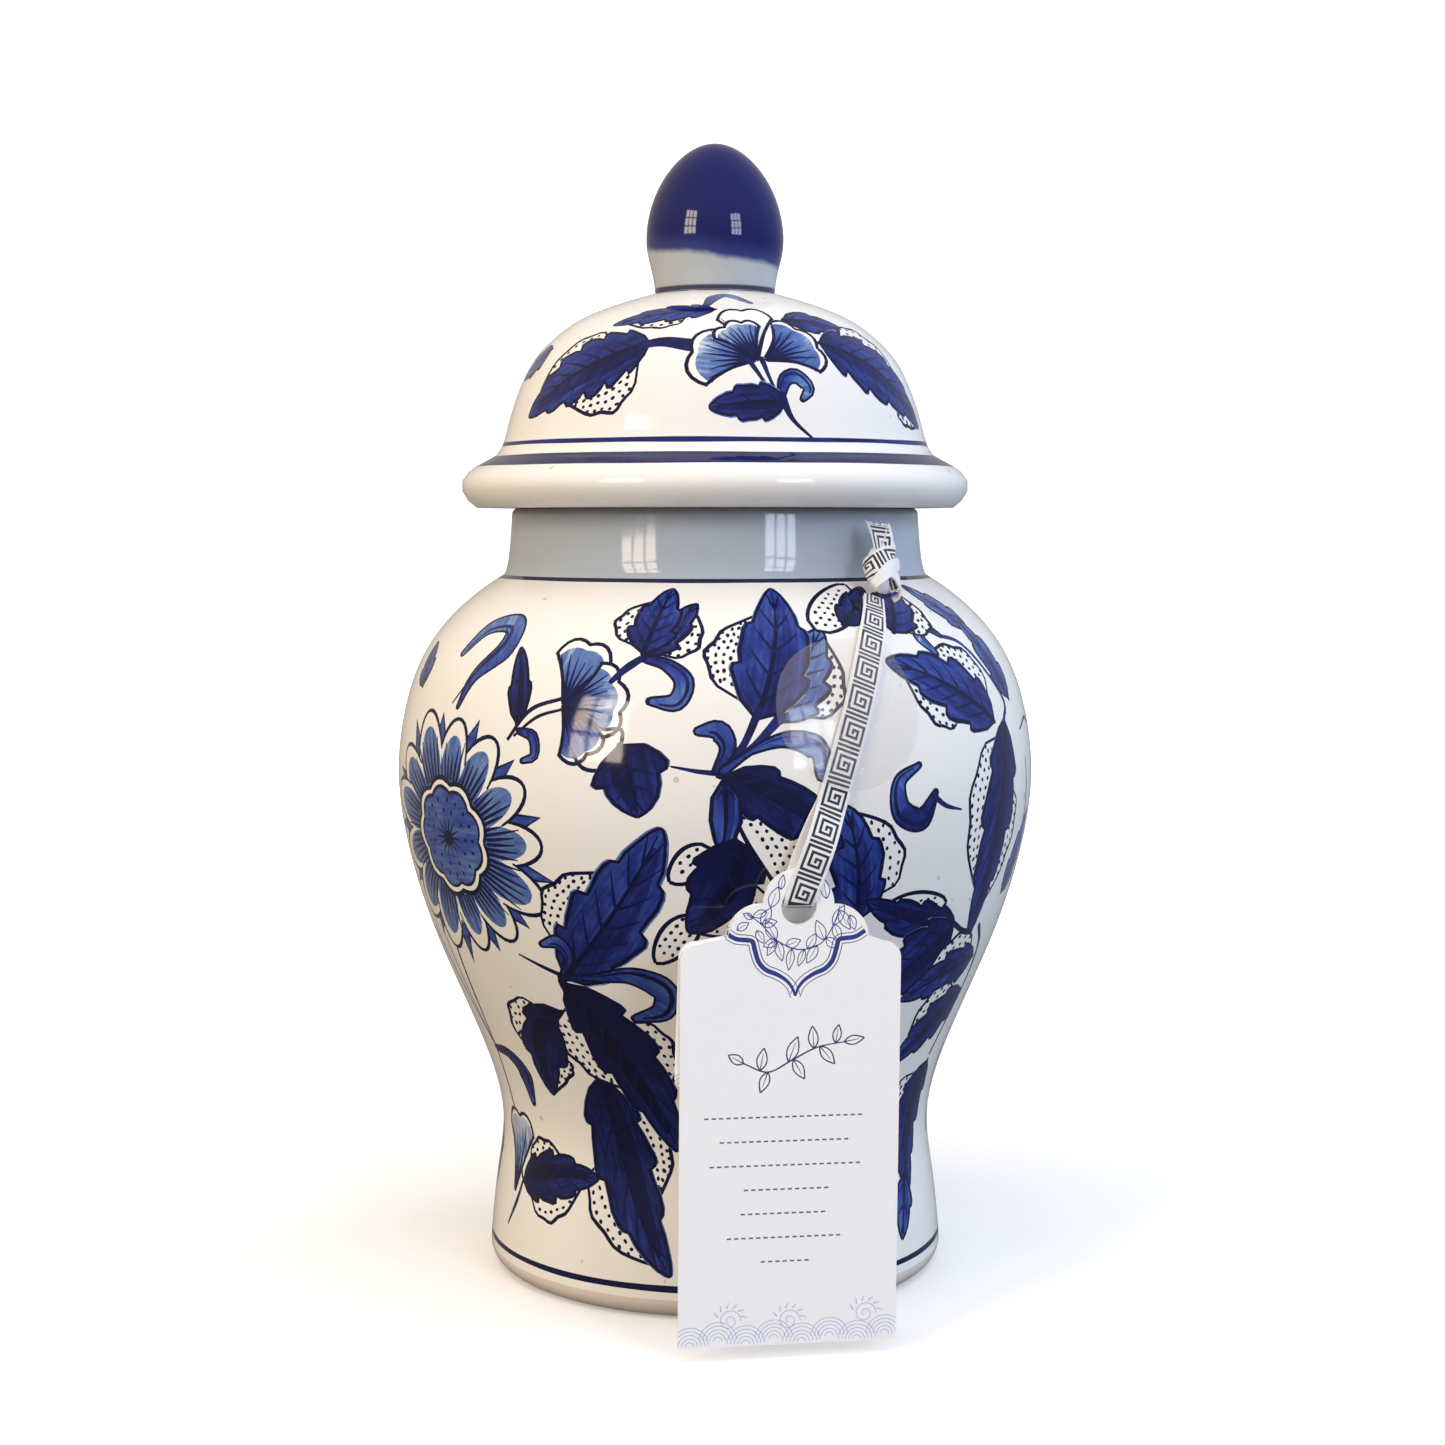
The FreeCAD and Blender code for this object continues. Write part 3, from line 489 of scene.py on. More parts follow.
def paint_jar(p):
    """The garland of the body, drawn twice: at the front and, half a turn on, at the back."""
    for shift in (0.0, 180.0):
        p.shift = shift
        # far left and lower left stems, then the big flower
        p.stem([(-72, 80), (-68, 66), (-63.4, 53)], (0.7, 0.9, 0.6), 0.75)
        p.stem([(-61, 80), (-62.5, 66), (-63.4, 53)], (0.7, 0.9, 0.6), 0.85)
        p.stem([(-66, 80), (-65.5, 64), (-63.4, 53)], (0.5, 0.6, 0.5), 0.75)
        p.stem([(-63.4, 53), (-64.5, 42), (-62.5, 30), (-58.6, 23.5)], (0.6, 0.8, 0.7), 0.8)
        p.leaf((-68, 133.6), (-72.5, 143), 7, teeth=2, tone=0.5, veins=3)
        p.curl([(-51, 130.5), (-48.5, 137), (-43, 143), (-44, 147.8), (-51, 147), (-55.5, 141.5)],
               (0.4, 2.2, 5.0, 4.6, 3.4, 1.2), 0.48)
        p.stem([(-53, 131), (-48, 138.5), (-44, 144.5), (-46, 147)], (0.4, 0.7, 0.4), 0.9)
        p.flower((-52.4, 102.6), 27.5)
        # sprig with a side-on blossom
        p.leaf((-35.2, 128.0), (-39.1, 143.4), 5.0, bow=-0.06, teeth=2, tone=0.78, veins=3)
        p.stem([(-36.9, 124.6), (-32.7, 131), (-26.5, 133.6)], (0.8, 1.0, 0.8))
        p.stem([(-35.6, 125.5), (-31.2, 129.6), (-26.3, 131.4)], (0.6, 0.8, 0.6))
        p.curl([(-34.6, 126.6), (-31.6, 125.6), (-31, 121.8), (-33.3, 120.6)], (0.8, 1.9, 1.7, 0.6), 0.55,
               0.6)
        p.petal((-26.4, 131.6), (-23.4, 145.4), 66, scallops=2, strokes=6)
        p.petal((-26.6, 132.8), (-20.6, 121.6), 62, scallops=2, strokes=6, tone=0.6, margin=1.2)
        p.petal((-27, 132.4), (-14.6, 134.4), 84, scallops=3, strokes=9)
        p.stem([(-18.6, 127.6), (-15.3, 127.6), (-15.4, 123.6)], (0.7, 0.9, 0.8))
        p.stem([(-24.2, 124.0), (-21.7, 119.8), (-17.0, 119.4)], (0.6, 0.9, 0.8))
        p.leaf((-15.6, 124.6), (-12.3, 110.2), 14.5, bow=0.05, teeth=2, tone=0.8, veins=4, halo=0.7)
        p.stem([(-18.0, 137.2), (-15.4, 140), (-11.9, 142.6)], (1.2, 1.9, 1.5), 0.88)
        p.leaf((-12.2, 142.4), (-3.6, 152.6), 7, teeth=3, tone=0.7, veins=3,
               lobes=((-1, 0.1, 0.85, 3.8, 2),))
        p.leaf((-13.0, 142.8), (-9.6, 155.6), 9.5, teeth=3, tone=0.66, lobes=((1, 0.08, 0.72, 4.0, 2),),
               halo=0.5)
        p.curl([(-12.2, 141.6), (-8.4, 140.6), (-5.2, 137.4), (-6.4, 133.4), (-10.8, 133.4)],
               (1.0, 2.2, 3.4, 3.2, 1.0), 0.55)
        # centre: two leaves up, two down, from one node
        p.leaf((11.0, 129.3), (21.2, 147.4), 12.5, bow=0.03, tone=0.42, lobes=((-1, 0.12, 0.9, 4.4, 2),))
        p.leaf((7.0, 129.9), (13.2, 155.6), 14.5, bow=-0.04, teeth=3, tone=0.64,
               lobes=((1, 0.08, 0.72, 6.8, 4),), halo=0.6)
        p.stem([(7.4, 131.5), (4.6, 124.5), (1.0, 119.2)], (1.8, 1.5, 2.4), 0.84)
        p.stem([(11.2, 130.4), (6.6, 124.8), (1.0, 119.2)], (2.2, 1.4, 2.0), 0.8)
        p.stem([(1.4, 119.2), (-2.4, 119.6), (-7.0, 120.6)], (1.3, 0.9, 0.4), 0.85)
        p.curl([(0.2, 119.6), (2.2, 124.4), (0.6, 127.8), (-2.6, 127.6)], (0.7, 2.3, 3.8, 1.2), 0.6)
        p.curl([(1.4, 119.6), (6.4, 123.8), (12.2, 125.8), (17.2, 123.6), (17.6, 118.6)],
               (1.2, 0.6, 2.2, 4.4, 2.0), 0.45)
        p.dotted((4.6, 114.6), (13.8, 92.6), 12.5, bow=0.12, rows=5)
        p.leaf((25.4, 87.6), (21.4, 112.4), 12, bow=-0.05, teeth=3, tone=0.64,
               lobes=((-1, 0.2, 0.9, 5.6, 2),))
        p.leaf((2.0, 118.8), (21.6, 103.6), 10.5, bow=0.03, teeth=3, tone=0.82, halo=0.5)
        p.leaf((1.6, 118.4), (1.2, 102.6), 6.2, bow=0.04, teeth=1, tone=0.6, veins=2)
        p.dotted((-0.5, 104.0), (-7.4, 97.0), 7.0, rows=3)
        p.dotted((-3.2, 89.6), (-10.6, 79.4), 7.0, rows=3)
        p.leaf((3.4, 106.0), (-4.6, 86.4), 14, bow=0.1, teeth=3, tone=0.88, veins=4,
               lobes=((1, 0.35, 0.95, 4.6, 2),))
        # lower left group
        p.leaf((-29.4, 74.6), (-8.4, 108.2), 16.5, bow=-0.05, tone=0.68, veins=6,
               lobes=((1, 0.12, 0.66, 7.0, 3),), halo=0.8)
        p.stem([(-29.4, 74.9), (-34.0, 76.6), (-39.4, 78.8)], (1.2, 0.9, 0.4), 0.9)
        p.curl([(-30.0, 75.2), (-27.6, 79.4), (-29.4, 82.6), (-33.0, 81.8)], (0.4, 1.6, 2.8, 0.8), 0.6)
        p.curl([(-30.4, 74.6), (-22.4, 75.4), (-15.2, 76.2), (-9.4, 73.2), (-10.2, 68.6), (-16.0, 66.6)],
               (0.8, 1.0, 2.8, 5.0, 4.4, 1.0), 0.66)
        p.leaf((-32.4, 66.6), (-42.6, 45.6), 12.5, bow=-0.14, teeth=3, tone=0.86, veins=4,
               lobes=((-1, 0.15, 0.62, 4.6, 3), (1, 0.5, 0.98, 3.4, 2)))
        p.stem([(-30.6, 73.8), (-30.0, 69.4), (-33.0, 63.4)], (1.6, 1.4, 1.2), 0.94)
        p.curl([(-63.4, 53.2), (-57.0, 53.0), (-52.4, 49.6), (-52.0, 42.4)], (0.8, 2.2, 4.2, 1.0), 0.7)
        p.leaf((-27.0, 52.0), (-10.4, 9.4), 13, bow=-0.07, tone=0.8, veins=6,
               lobes=((1, 0.1, 0.66, 6.0, 3), (-1, 0.42, 0.92, 5.6, 2)), halo=0.6)
        p.leaf((-29.6, 73.4), (-9.2, 36.0), 13.5, bow=0.03, tone=0.88, veins=6,
               lobes=((-1, 0.1, 0.6, 6.4, 3), (1, 0.3, 0.68, 4.6, 2)), halo=0.5)
        p.petal((-62.6, 19.6), (-61.4, 39.4), 46, tone=0.34, scallops=2, strokes=5, margin=1.4)
        p.leaf((-58.4, 23.6), (-30.4, 28.4), 10.5, bow=0.04, tone=0.84,
               lobes=((1, 0.14, 0.58, 3.6, 2), (-1, 0.12, 0.8, 4.8, 1)))
        p.stem([(-58.6, 23.5), (-60.8, 18.4), (-64.6, 12.6)], (0.8, 1.2, 0.6), 0.85)
        # right group
        p.leaf((58.0, 126.8), (32.6, 140.8), 13, bow=-0.05, tone=0.64, veins=6,
               lobes=((-1, 0.1, 0.66, 5.6, 3), (1, 0.36, 0.86, 4.4, 2)), halo=0.6)
        p.leaf((62.2, 127.0), (57.0, 80.0), 13, bow=-0.05, tone=0.76, veins=7,
               lobes=((-1, 0.1, 0.76, 6.6, 3), (1, 0.3, 0.84, 4.6, 2)), halo=0.6)
        p.curl([(39.4, 113.6), (36.4, 108.4), (32.2, 110.4), (31.8, 116.4), (36.0, 119.6)],
               (1.0, 4.4, 4.4, 2.6, 0.6), 0.6)
        p.stem([(39.0, 113.0), (42.0, 110.6), (46.0, 109.4)], (1.4, 1.0, 0.4), 0.85)
        p.stem([(49.6, 145.4), (55.3, 143.6), (60.0, 137.6), (64.0, 130.6), (62.2, 127.0)],
               (1.2, 1.0, 1.2), 0.75)
        p.curl([(50.0, 145.4), (46.4, 147.6), (43.6, 145.4), (46.0, 141.8)], (0.8, 2.6, 2.6, 0.8), 0.5)
        p.leaf((63.0, 146.0), (52.0, 155.8), 7, teeth=3, tone=0.4, veins=3)
        p.leaf((67.0, 131.0), (60.4, 149.4), 8, teeth=3, tone=0.5, veins=4)
        p.dotted((20.0, 147.2), (33.4, 156.2), 9, rows=4)
        p.leaf((26.4, 148.2), (37.6, 155.6), 6.5, teeth=3, tone=0.76, veins=3)
        p.leaf((37.4, 146.4), (46.6, 156.0), 10, teeth=3, tone=0.66, veins=4,
               lobes=((-1, 0.1, 0.85, 4.4, 3),))
        p.dotted((30.4, 88.6), (45.8, 89.4), 7.6, rows=3)
        p.leaf((50.4, 83.6), (27.0, 92.0), 9, bow=0.06, tone=0.8)
        p.leaf((50.0, 83.4), (33.0, 68.4), 14, bow=-0.04, tone=0.76, halo=0.6)
        p.stem([(57.6, 81.0), (53.6, 82.0), (50.0, 84.0)], (1.4, 1.2, 1.4), 0.85)
        p.stem([(72.0, 118.0), (73.0, 104.0), (70.4, 90.0)], (0.7, 0.9, 0.5), 0.8)
        p.leaf((68.0, 88.0), (76.0, 106.0), 8, teeth=3, tone=0.42, veins=4)
        p.leaf((63.6, 74.4), (40.6, 68.0), 10, bow=-0.04, tone=0.7, lobes=((-1, 0.12, 0.7, 4.4, 2),))
        p.stem([(60.6, 82.0), (64.6, 76.0), (65.6, 66.0), (62.6, 52.0)], (1.2, 1.0, 1.0), 0.85)
        p.leaf((65.0, 66.4), (45.4, 52.6), 11, bow=-0.03, tone=0.74, lobes=((-1, 0.15, 0.75, 4.2, 2),))
        p.leaf((62.6, 50.4), (59.0, 21.0), 11.5, bow=-0.05, tone=0.78, lobes=((-1, 0.1, 0.62, 5.2, 3),),
               halo=0.5)
        p.leaf((57.6, 25.0), (53.6, 11.4), 6.4, teeth=2, tone=0.5, veins=3)
        # behind the cards
        p.leaf((22.0, 74.0), (2.0, 55.6), 13, bow=0.05, tone=0.72, lobes=((1, 0.12, 0.7, 5.6, 3),),
               halo=0.6)
        p.leaf((22.0, 74.0), (34.6, 50.0), 11, bow=-0.06, tone=0.8, lobes=((-1, 0.2, 0.75, 4.6, 2),))
        p.stem([(22.0, 74.0), (21.4, 82.0), (25.2, 89.0)], (1.4, 1.1, 1.4), 0.9)
        p.curl([(22.0, 74.0), (16.0, 78.4), (10.4, 77.4), (9.4, 71.6), (13.0, 69.6)],
               (0.8, 1.2, 3.4, 3.6, 0.8), 0.55)
        p.flower((16.0, 31.0), 17.0, petals=11, disc=7.6, stretch=1.05)
        p.leaf((34.4, 40.0), (46.0, 26.0), 9, teeth=3, tone=0.8, lobes=((1, 0.2, 0.8, 3.8, 2),))
        p.leaf((0.6, 22.0), (-2.6, 8.4), 7, teeth=2, tone=0.6, veins=3)
        # between the two garlands
        p.leaf((84.0, 120.0), (92.0, 146.0), 12, bow=0.05, tone=0.66, lobes=((-1, 0.12, 0.7, 5.0, 3),),
               halo=0.5)
        p.leaf((84.0, 120.0), (86.0, 92.0), 12, bow=-0.05, tone=0.78, lobes=((1, 0.15, 0.75, 5.0, 3),))
        p.stem([(84.0, 121.0), (77.0, 126.0), (70.0, 124.0)], (1.6, 1.0, 0.5), 0.88)
        p.curl([(84.0, 120.0), (91.0, 120.0), (96.0, 115.0), (93.0, 109.6), (90.0, 112.0)],
               (0.9, 1.6, 3.6, 3.4, 0.8), 0.55)
        p.leaf((84.0, 62.0), (80.0, 30.0), 11, bow=0.05, tone=0.8, lobes=((-1, 0.12, 0.72, 5.0, 3),))
        p.leaf((84.0, 62.0), (92.0, 84.0), 10, bow=-0.05, teeth=3, tone=0.64,
               lobes=((-1, 0.12, 0.72, 4.0, 2),))
        p.curl([(84.0, 62.0), (92.0, 62.0), (98.0, 58.0), (96.0, 52.0), (91.0, 53.0)],
               (0.9, 1.6, 3.6, 3.2, 0.8), 0.6)
        p.stem([(84.0, 62.0), (79.0, 66.0), (73.0, 64.6)], (1.4, 0.9, 0.4), 0.88)
        p.leaf((98.0, 34.0), (92.0, 12.0), 9, teeth=3, tone=0.72, lobes=((-1, 0.15, 0.75, 3.8, 2),))


def paint_lid(p):
    """Two sprays around the dome."""
    for shift in (0.0, 180.0):
        p.shift = shift
        p.leaf((-64.0, 207.0), (-78.0, 201.0), 7, teeth=3, tone=0.45, veins=3)
        p.curl([(-3.6, 215.6), (0.0, 217.8), (8.0, 218.4), (17.0, 216.4)], (0.6, 2.6, 2.4, 0.5), 0.45,
               0.6)
        p.leaf((0.4, 214.6), (-38.4, 211.4), 6.8, bow=-0.05, tone=0.62, line=0.65,
               lobes=((1, 0.3, 0.85, 2.6, 1),))
        p.leaf((-20.0, 206.9), (-60.4, 192.0), 14.5, bow=-0.06, teeth=6, tone=0.72, veins=7,
               lobes=((1, 0.08, 0.66, 6.6, 3), (-1, 0.3, 0.85, 3.4, 1)))
        p.stem([(-22.4, 206.6), (-15.6, 207.2), (-7.0, 206.4)], (2.2, 3.0, 3.6), 0.86)
        p.petal((13.0, 203.2), (-8.4, 205.0), 74, scallops=2, strokes=7, tone=0.4, margin=2.0)
        p.petal((14.0, 203.0), (32.8, 209.0), 84, scallops=3, strokes=8, tone=0.5, margin=1.6)
        p.petal((12.4, 203.0), (10.6, 215.0), 58, scallops=2, strokes=2, tone=0.12, margin=4.0)
        p.petal((12.6, 202.6), (5.4, 211.8), 66, scallops=3, strokes=8, tone=0.42, margin=1.4)
        p.stem([(9.6, 203.4), (13.2, 199.0), (15.6, 195.6)], (1.4, 0.8, 0.7), 0.85)
        p.stem([(13.6, 203.4), (15.2, 199.4), (16.8, 196.0)], (1.4, 0.8, 0.7), 0.85)
        p.curl([(17.8, 195.2), (19.6, 199.0), (23.2, 199.8), (26.2, 197.2), (24.0, 195.0)],
               (1.0, 2.2, 3.0, 2.6, 0.8), 0.5, 0.6)
        p.leaf((19.0, 194.4), (-1.4, 193.0), 7.6, bow=-0.03, teeth=3, tone=0.78, veins=3, line=0.6,
               halo=0.6)
        p.stem([(18.0, 195.6), (20.4, 190.8), (25.6, 186.6)], (2.2, 1.0, 0.6), 0.9)
        p.leaf((25.6, 212.4), (51.6, 210.4), 7.4, bow=0.06, teeth=2, tone=0.68, veins=3)
        p.leaf((34.4, 207.3), (73.6, 190.0), 14, bow=0.08, teeth=5, tone=0.7, veins=7,
               lobes=((1, 0.2, 0.66, 5.0, 2), (-1, 0.7, 0.97, 3.0, 1)), halo=0.6)
        p.leaf((88.0, 203.0), (98.0, 190.0), 8, teeth=3, tone=0.66, lobes=((-1, 0.15, 0.75, 3.4, 2),))
        p.curl([(88.0, 203.0), (92.0, 208.6), (98.0, 209.6), (101.0, 205.6)], (0.8, 1.6, 2.8, 0.8), 0.55,
               0.6)
        p.stem([(88.0, 203.0), (82.0, 205.4), (78.0, 203.0)], (1.4, 0.9, 0.5), 0.88)


# ---------------------------------------------------------------- meshes


def corners_mesh(name, points, faces, loops, materials):
    """A mesh in metres from points and faces in millimetres, with values on its corners."""
    mesh = bpy.data.meshes.new(name)
    mesh.from_pydata((np.asarray(points) * MM).tolist(), [], faces)
    count = len(mesh.loops)
    for key, values in loops.items():
        values = np.asarray(values, np.float32)
        assert len(values) == count, (name, key, len(values), count)
        if key == "normal":
            continue
        if key == "uv":
            layer = mesh.uv_layers.new(name="OFBake")
            layer.data.foreach_set("uv", values.ravel())
        elif values.ndim == 1:
            mesh.attributes.new(key, "FLOAT", "CORNER").data.foreach_set("value", values)
        elif values.shape[1] == 3:
            mesh.attributes.new(key, "FLOAT_VECTOR", "CORNER").data.foreach_set("vector", values.ravel())
        else:
            mesh.attributes.new(key, "FLOAT_COLOR", "CORNER").data.foreach_set("color", values.ravel())
    mesh.shade_smooth()
    if "normal" in loops:
        mesh.normals_split_custom_set(np.asarray(loops["normal"]).tolist())
    for material in materials:
        mesh.materials.append(material)
    piece = bpy.data.objects.new(name, mesh)
    bpy.context.scene.collection.objects.link(piece)
    return piece


def inside(shape, places):
    """Which places lie in a shape, by how often its edge winds round them."""
    (x0, y0), (x1, y1) = shape.T[:, :, None], np.roll(shape, -1, axis=0).T[:, :, None]
    winding = np.zeros(len(places), int)
    for first in range(0, len(places), 4000):
        x, y = places[first : first + 4000].T
        turn = (x1 - x0) * (y - y0) - (x - x0) * (y1 - y0)
        rises, falls = (y0 <= y) & (y1 > y) & (turn > 0), (y0 > y) & (y1 <= y) & (turn < 0)
        winding[first : first + 4000] = rises.sum(axis=0) - falls.sum(axis=0)
    return winding != 0


def cut_up(painting, extra, outline, hole=None):
    """Cuts the plane along every painted shape. Gives its points, its triangles, and each corner's
    tone and brush place. Only what lies in the outline, and out of the hole, is kept."""
    holes = [] if hole is None else [np.asarray(hole, float)]
    shapes = [np.asarray(outline, float)] + holes + painting.shapes
    points, edges, count = [np.asarray(extra, float).reshape(-1, 2)], [], len(extra)
    for shape in shapes:
        own = np.arange(count, count + len(shape))
        edges.append(np.c_[own, np.roll(own, -1)])
        points.append(shape)
        count += len(shape)
    found = geometry.delaunay_2d_cdt(np.concatenate(points).tolist(), np.concatenate(edges).tolist(), [],
                                     0, 1e-4, False)
    flat = np.array([tuple(v) for v in found[0]])
    triangles = np.array(found[2])
    middles = flat[triangles].mean(axis=1)
    kept = inside(shapes[0], middles)
    if hole is not None:
        kept &= ~inside(shapes[1], middles)
    triangles, middles = triangles[kept], middles[kept]
    order = np.argsort(middles[:, 0])
    sorted_x = middles[order, 0]
    top = np.full(len(triangles), -1)
    for number, shape in enumerate(painting.shapes):
        (left, low), (right, high) = shape.min(axis=0), shape.max(axis=0)
        near = order[np.searchsorted(sorted_x, left) : np.searchsorted(sorted_x, right)]
        near = near[(middles[near, 1] > low) & (middles[near, 1] < high)]
        if len(near):
            top[near[inside(shape, middles[near])]] = number
    facts = np.array(painting.facts + [(0,) * 8], float)[top]
    corners = flat[triangles]
    start, way = facts[:, None, 2:4], (facts[:, 4:6] - facts[:, 2:4])[:, None, :]
    share = np.clip(((corners - start) * way).sum(-1) / np.maximum((way**2).sum(-1), 1e-9), 0, 1)
    tone = facts[:, None, 0] + (facts[:, 1] - facts[:, 0])[:, None] * share
    turn = facts[:, 6][:, None]
    local = corners - start
    brush = np.stack([local[..., 0] * np.cos(turn) + local[..., 1] * np.sin(turn),
                      local[..., 1] * np.cos(turn) - local[..., 0] * np.sin(turn),
                      np.broadcast_to(facts[:, 7][:, None], share.shape)], -1)
    return flat, triangles, tone, brush


COLUMNS = 240
SEAM = -96.0


def turned(name, pieces, painted, paint, reference, material):
    """A turned piece: the lines of its section in order, each with the colour and gloss of its glaze.
    The painted line is cut along its painting."""
    azimuths = np.radians(SEAM + 360 * np.arange(COLUMNS + 1) / COLUMNS)
    points, faces = [], []
    tone, brush, ground, glaze, normal, uv = [], [], [], [], [], []

    def ring(radius, height):
        if radius < 1e-6:
            points.append((0, 0, height))
            return [len(points) - 1] * (COLUMNS + 1)
        first = len(points)
        for a in azimuths[:-1]:
            points.append((radius * math.sin(a), -radius * math.cos(a), height))
        return [first + k for k in range(COLUMNS)] + [first]

    total = sum(lengths(line)[-1] for line, colour, gloss in pieces)
    done = 0.0
    last = None
    for number, (line, colour, gloss) in enumerate(pieces):
        far = lengths(line)
        way = np.gradient(line, axis=0) / np.maximum(np.gradient(far), 1e-9)[:, None]
        out = np.c_[way[:, 1], -way[:, 0]]
        out /= np.linalg.norm(out, axis=1)[:, None]
        if last is None:
            last = ring(*line[0])
        if number == painted:
            lower = last
            upper = ring(*line[-1])
            half = math.pi * reference
            columns = np.linspace(-half, half, COLUMNS + 1)
            levels = np.linspace(0, far[-1], max(3, int(far[-1] / 2.4)))
            extra = [(x, y) for y in levels for x in columns]
            border = [(-half, 0), (half, 0), (half, far[-1]), (-half, far[-1])]
            flat, triangles, tones, brushes = cut_up(paint, extra, border)
            r = np.interp(flat[:, 1], far, line[:, 0])
            z = np.interp(flat[:, 1], far, line[:, 1])
            a = flat[:, 0] / reference + math.radians(SEAM) + math.pi
            outward = np.c_[np.interp(flat[:, 1], far, out[:, 0]), np.interp(flat[:, 1], far, out[:, 1])]
            normals = np.c_[outward[:, 0] * np.sin(a), -outward[:, 0] * np.cos(a), outward[:, 1]]
            places = np.c_[r * np.sin(a), -r * np.cos(a), z]
            column = np.rint((flat[:, 0] + half) / (2 * half) * COLUMNS).astype(int)
            index = len(points) + np.arange(len(flat))
            points.extend(places.tolist())
            low, high = flat[:, 1] < 1e-3, flat[:, 1] > far[-1] - 1e-3
            index[low] = np.array(lower)[column[low]]
            index[high] = np.array(upper)[column[high]]
            edge = np.flatnonzero((np.abs(flat[:, 0]) > half - 1e-3) & ~low & ~high)
            seam = {}
            for i in edge:
                index[i] = seam.setdefault(round(flat[i, 1], 2), index[i])
            ids = index[triangles]
            sound = (ids[:, 0] != ids[:, 1]) & (ids[:, 1] != ids[:, 2]) & (ids[:, 0] != ids[:, 2])
            ids, picked = ids[sound], triangles[sound]
            faces.extend(ids.tolist())
            tone.append(tones[sound].ravel())
            brush.append(brushes[sound].reshape(-1, 3))
            normal.append(normals[picked].reshape(-1, 3))
            across = (flat[:, 0] + half) / (2 * half)
            uv.append(np.c_[across, (done + flat[:, 1]) / total][picked].reshape(-1, 2))
            ground.append(np.tile(colour, (picked.size, 1)))
            glaze.append(np.full(picked.size, gloss))
            last = upper
            done += far[-1]
            continue
        corner_rows = []
        for i in range(len(line) - 1):
            following = ring(*line[i + 1])
            for k in range(COLUMNS):
                quad = [(last[k], k, i), (last[k + 1], k + 1, i), (following[k + 1], k + 1, i + 1),
                        (following[k], k, i + 1)]
                kept = [c for n, c in enumerate(quad) if c[0] not in [q[0] for q in quad[:n]]]
                faces.append([c[0] for c in kept])
                corner_rows.extend(c[1:] for c in kept)
            last = following
        column, row = np.array(corner_rows).T
        a = azimuths[column]
        count = len(column)
        normal.append(np.c_[out[row, 0] * np.sin(a), -out[row, 0] * np.cos(a), out[row, 1]])
        uv.append(np.c_[column / COLUMNS, (done + far[row]) / total])
        tone.append(np.zeros(count))
        brush.append(np.zeros((count, 3)))
        ground.append(np.tile(colour, (count, 1)))
        glaze.append(np.full(count, gloss))
        done += far[-1]
    values = {"pigment": tone, "brush": brush, "ground": ground, "glaze": glaze, "uv": uv,
              "normal": normal}
    loops = {key: np.concatenate(parts) for key, parts in values.items()}
    return corners_mesh(name, points, faces, loops, [material])


# ---------------------------------------------------------------- materials


class Nodes:
    """A short way to write node materials."""

    def __init__(self, name):
        self.material = bpy.data.materials.new(name)
        self.material.use_nodes = True
        self.tree = self.material.node_tree
        self.shader = self.tree.nodes["Principled BSDF"]

    def add(self, kind, inputs=(), **settings):
        node = self.tree.nodes.new(kind)
        for key, value in settings.items():
            setattr(node, key, value)
        for key, value in dict(inputs).items():
            self.put(node.inputs[key], value)
        return node

    def put(self, socket, value):
        if isinstance(value, bpy.types.NodeSocket):
            self.tree.links.new(value, socket)
        else:
            socket.default_value = value

    def attribute(self, name):
        return self.add("ShaderNodeAttribute", attribute_name=name)

    def math(self, operation, *values, clamp=False):
        node = self.add("ShaderNodeMath", operation=operation, use_clamp=clamp)
        for socket, value in zip(node.inputs, values):
            self.put(socket, value)
        return node.outputs[0]

    def noise(self, vector, scale, detail=2.0, roughness=0.5):
        inputs = {"Vector": vector, "Scale": scale, "Detail": detail, "Roughness": roughness}
        return self.add("ShaderNodeTexNoise", inputs).outputs["Fac"]

    def place(self):
        return self.add("ShaderNodeTexCoord").outputs["Object"]

    def scaled(self, vector, scale):
        return self.add("ShaderNodeMapping", {"Vector": vector, "Scale": scale}).outputs[0]

    def ramp(self, value, stops):
        node = self.add("ShaderNodeValToRGB", {"Fac": value})
        ramp = node.color_ramp
        while len(ramp.elements) < len(stops):
            ramp.elements.new(0.5)
        for element, (position, colour) in zip(ramp.elements, stops):
            element.position = position
            element.color = (*colour, 1) if len(colour) == 3 else colour
        return node.outputs["Color"]

    def mix(self, factor, a, b):
        node = self.add("ShaderNodeMix", data_type="RGBA")
        self.put(node.inputs[0], factor)
        for socket, value in ((node.inputs[6], a), (node.inputs[7], b)):
            self.put(socket, value if isinstance(value, bpy.types.NodeSocket) else (*value, 1))
        return node.outputs[2]

    def range(self, value, low, high, to_low=0.0, to_high=1.0, smooth=True):
        kind = "SMOOTHSTEP" if smooth else "LINEAR"
        inputs = {"Value": value, "From Min": low, "From Max": high, "To Min": to_low, "To Max": to_high}
        return self.add("ShaderNodeMapRange", inputs, interpolation_type=kind).outputs[0]

    def bump(self, height, distance, strength=1.0, normal=None):
        inputs = {"Height": height, "Distance": distance, "Strength": strength}
        if normal is not None:
            inputs["Normal"] = normal
        return self.add("ShaderNodeBump", inputs).outputs[0]

    def finish(self, **inputs):
        for key, value in inputs.items():
            self.put(self.shader.inputs[key.replace("_", " ")], value)
        return self.material


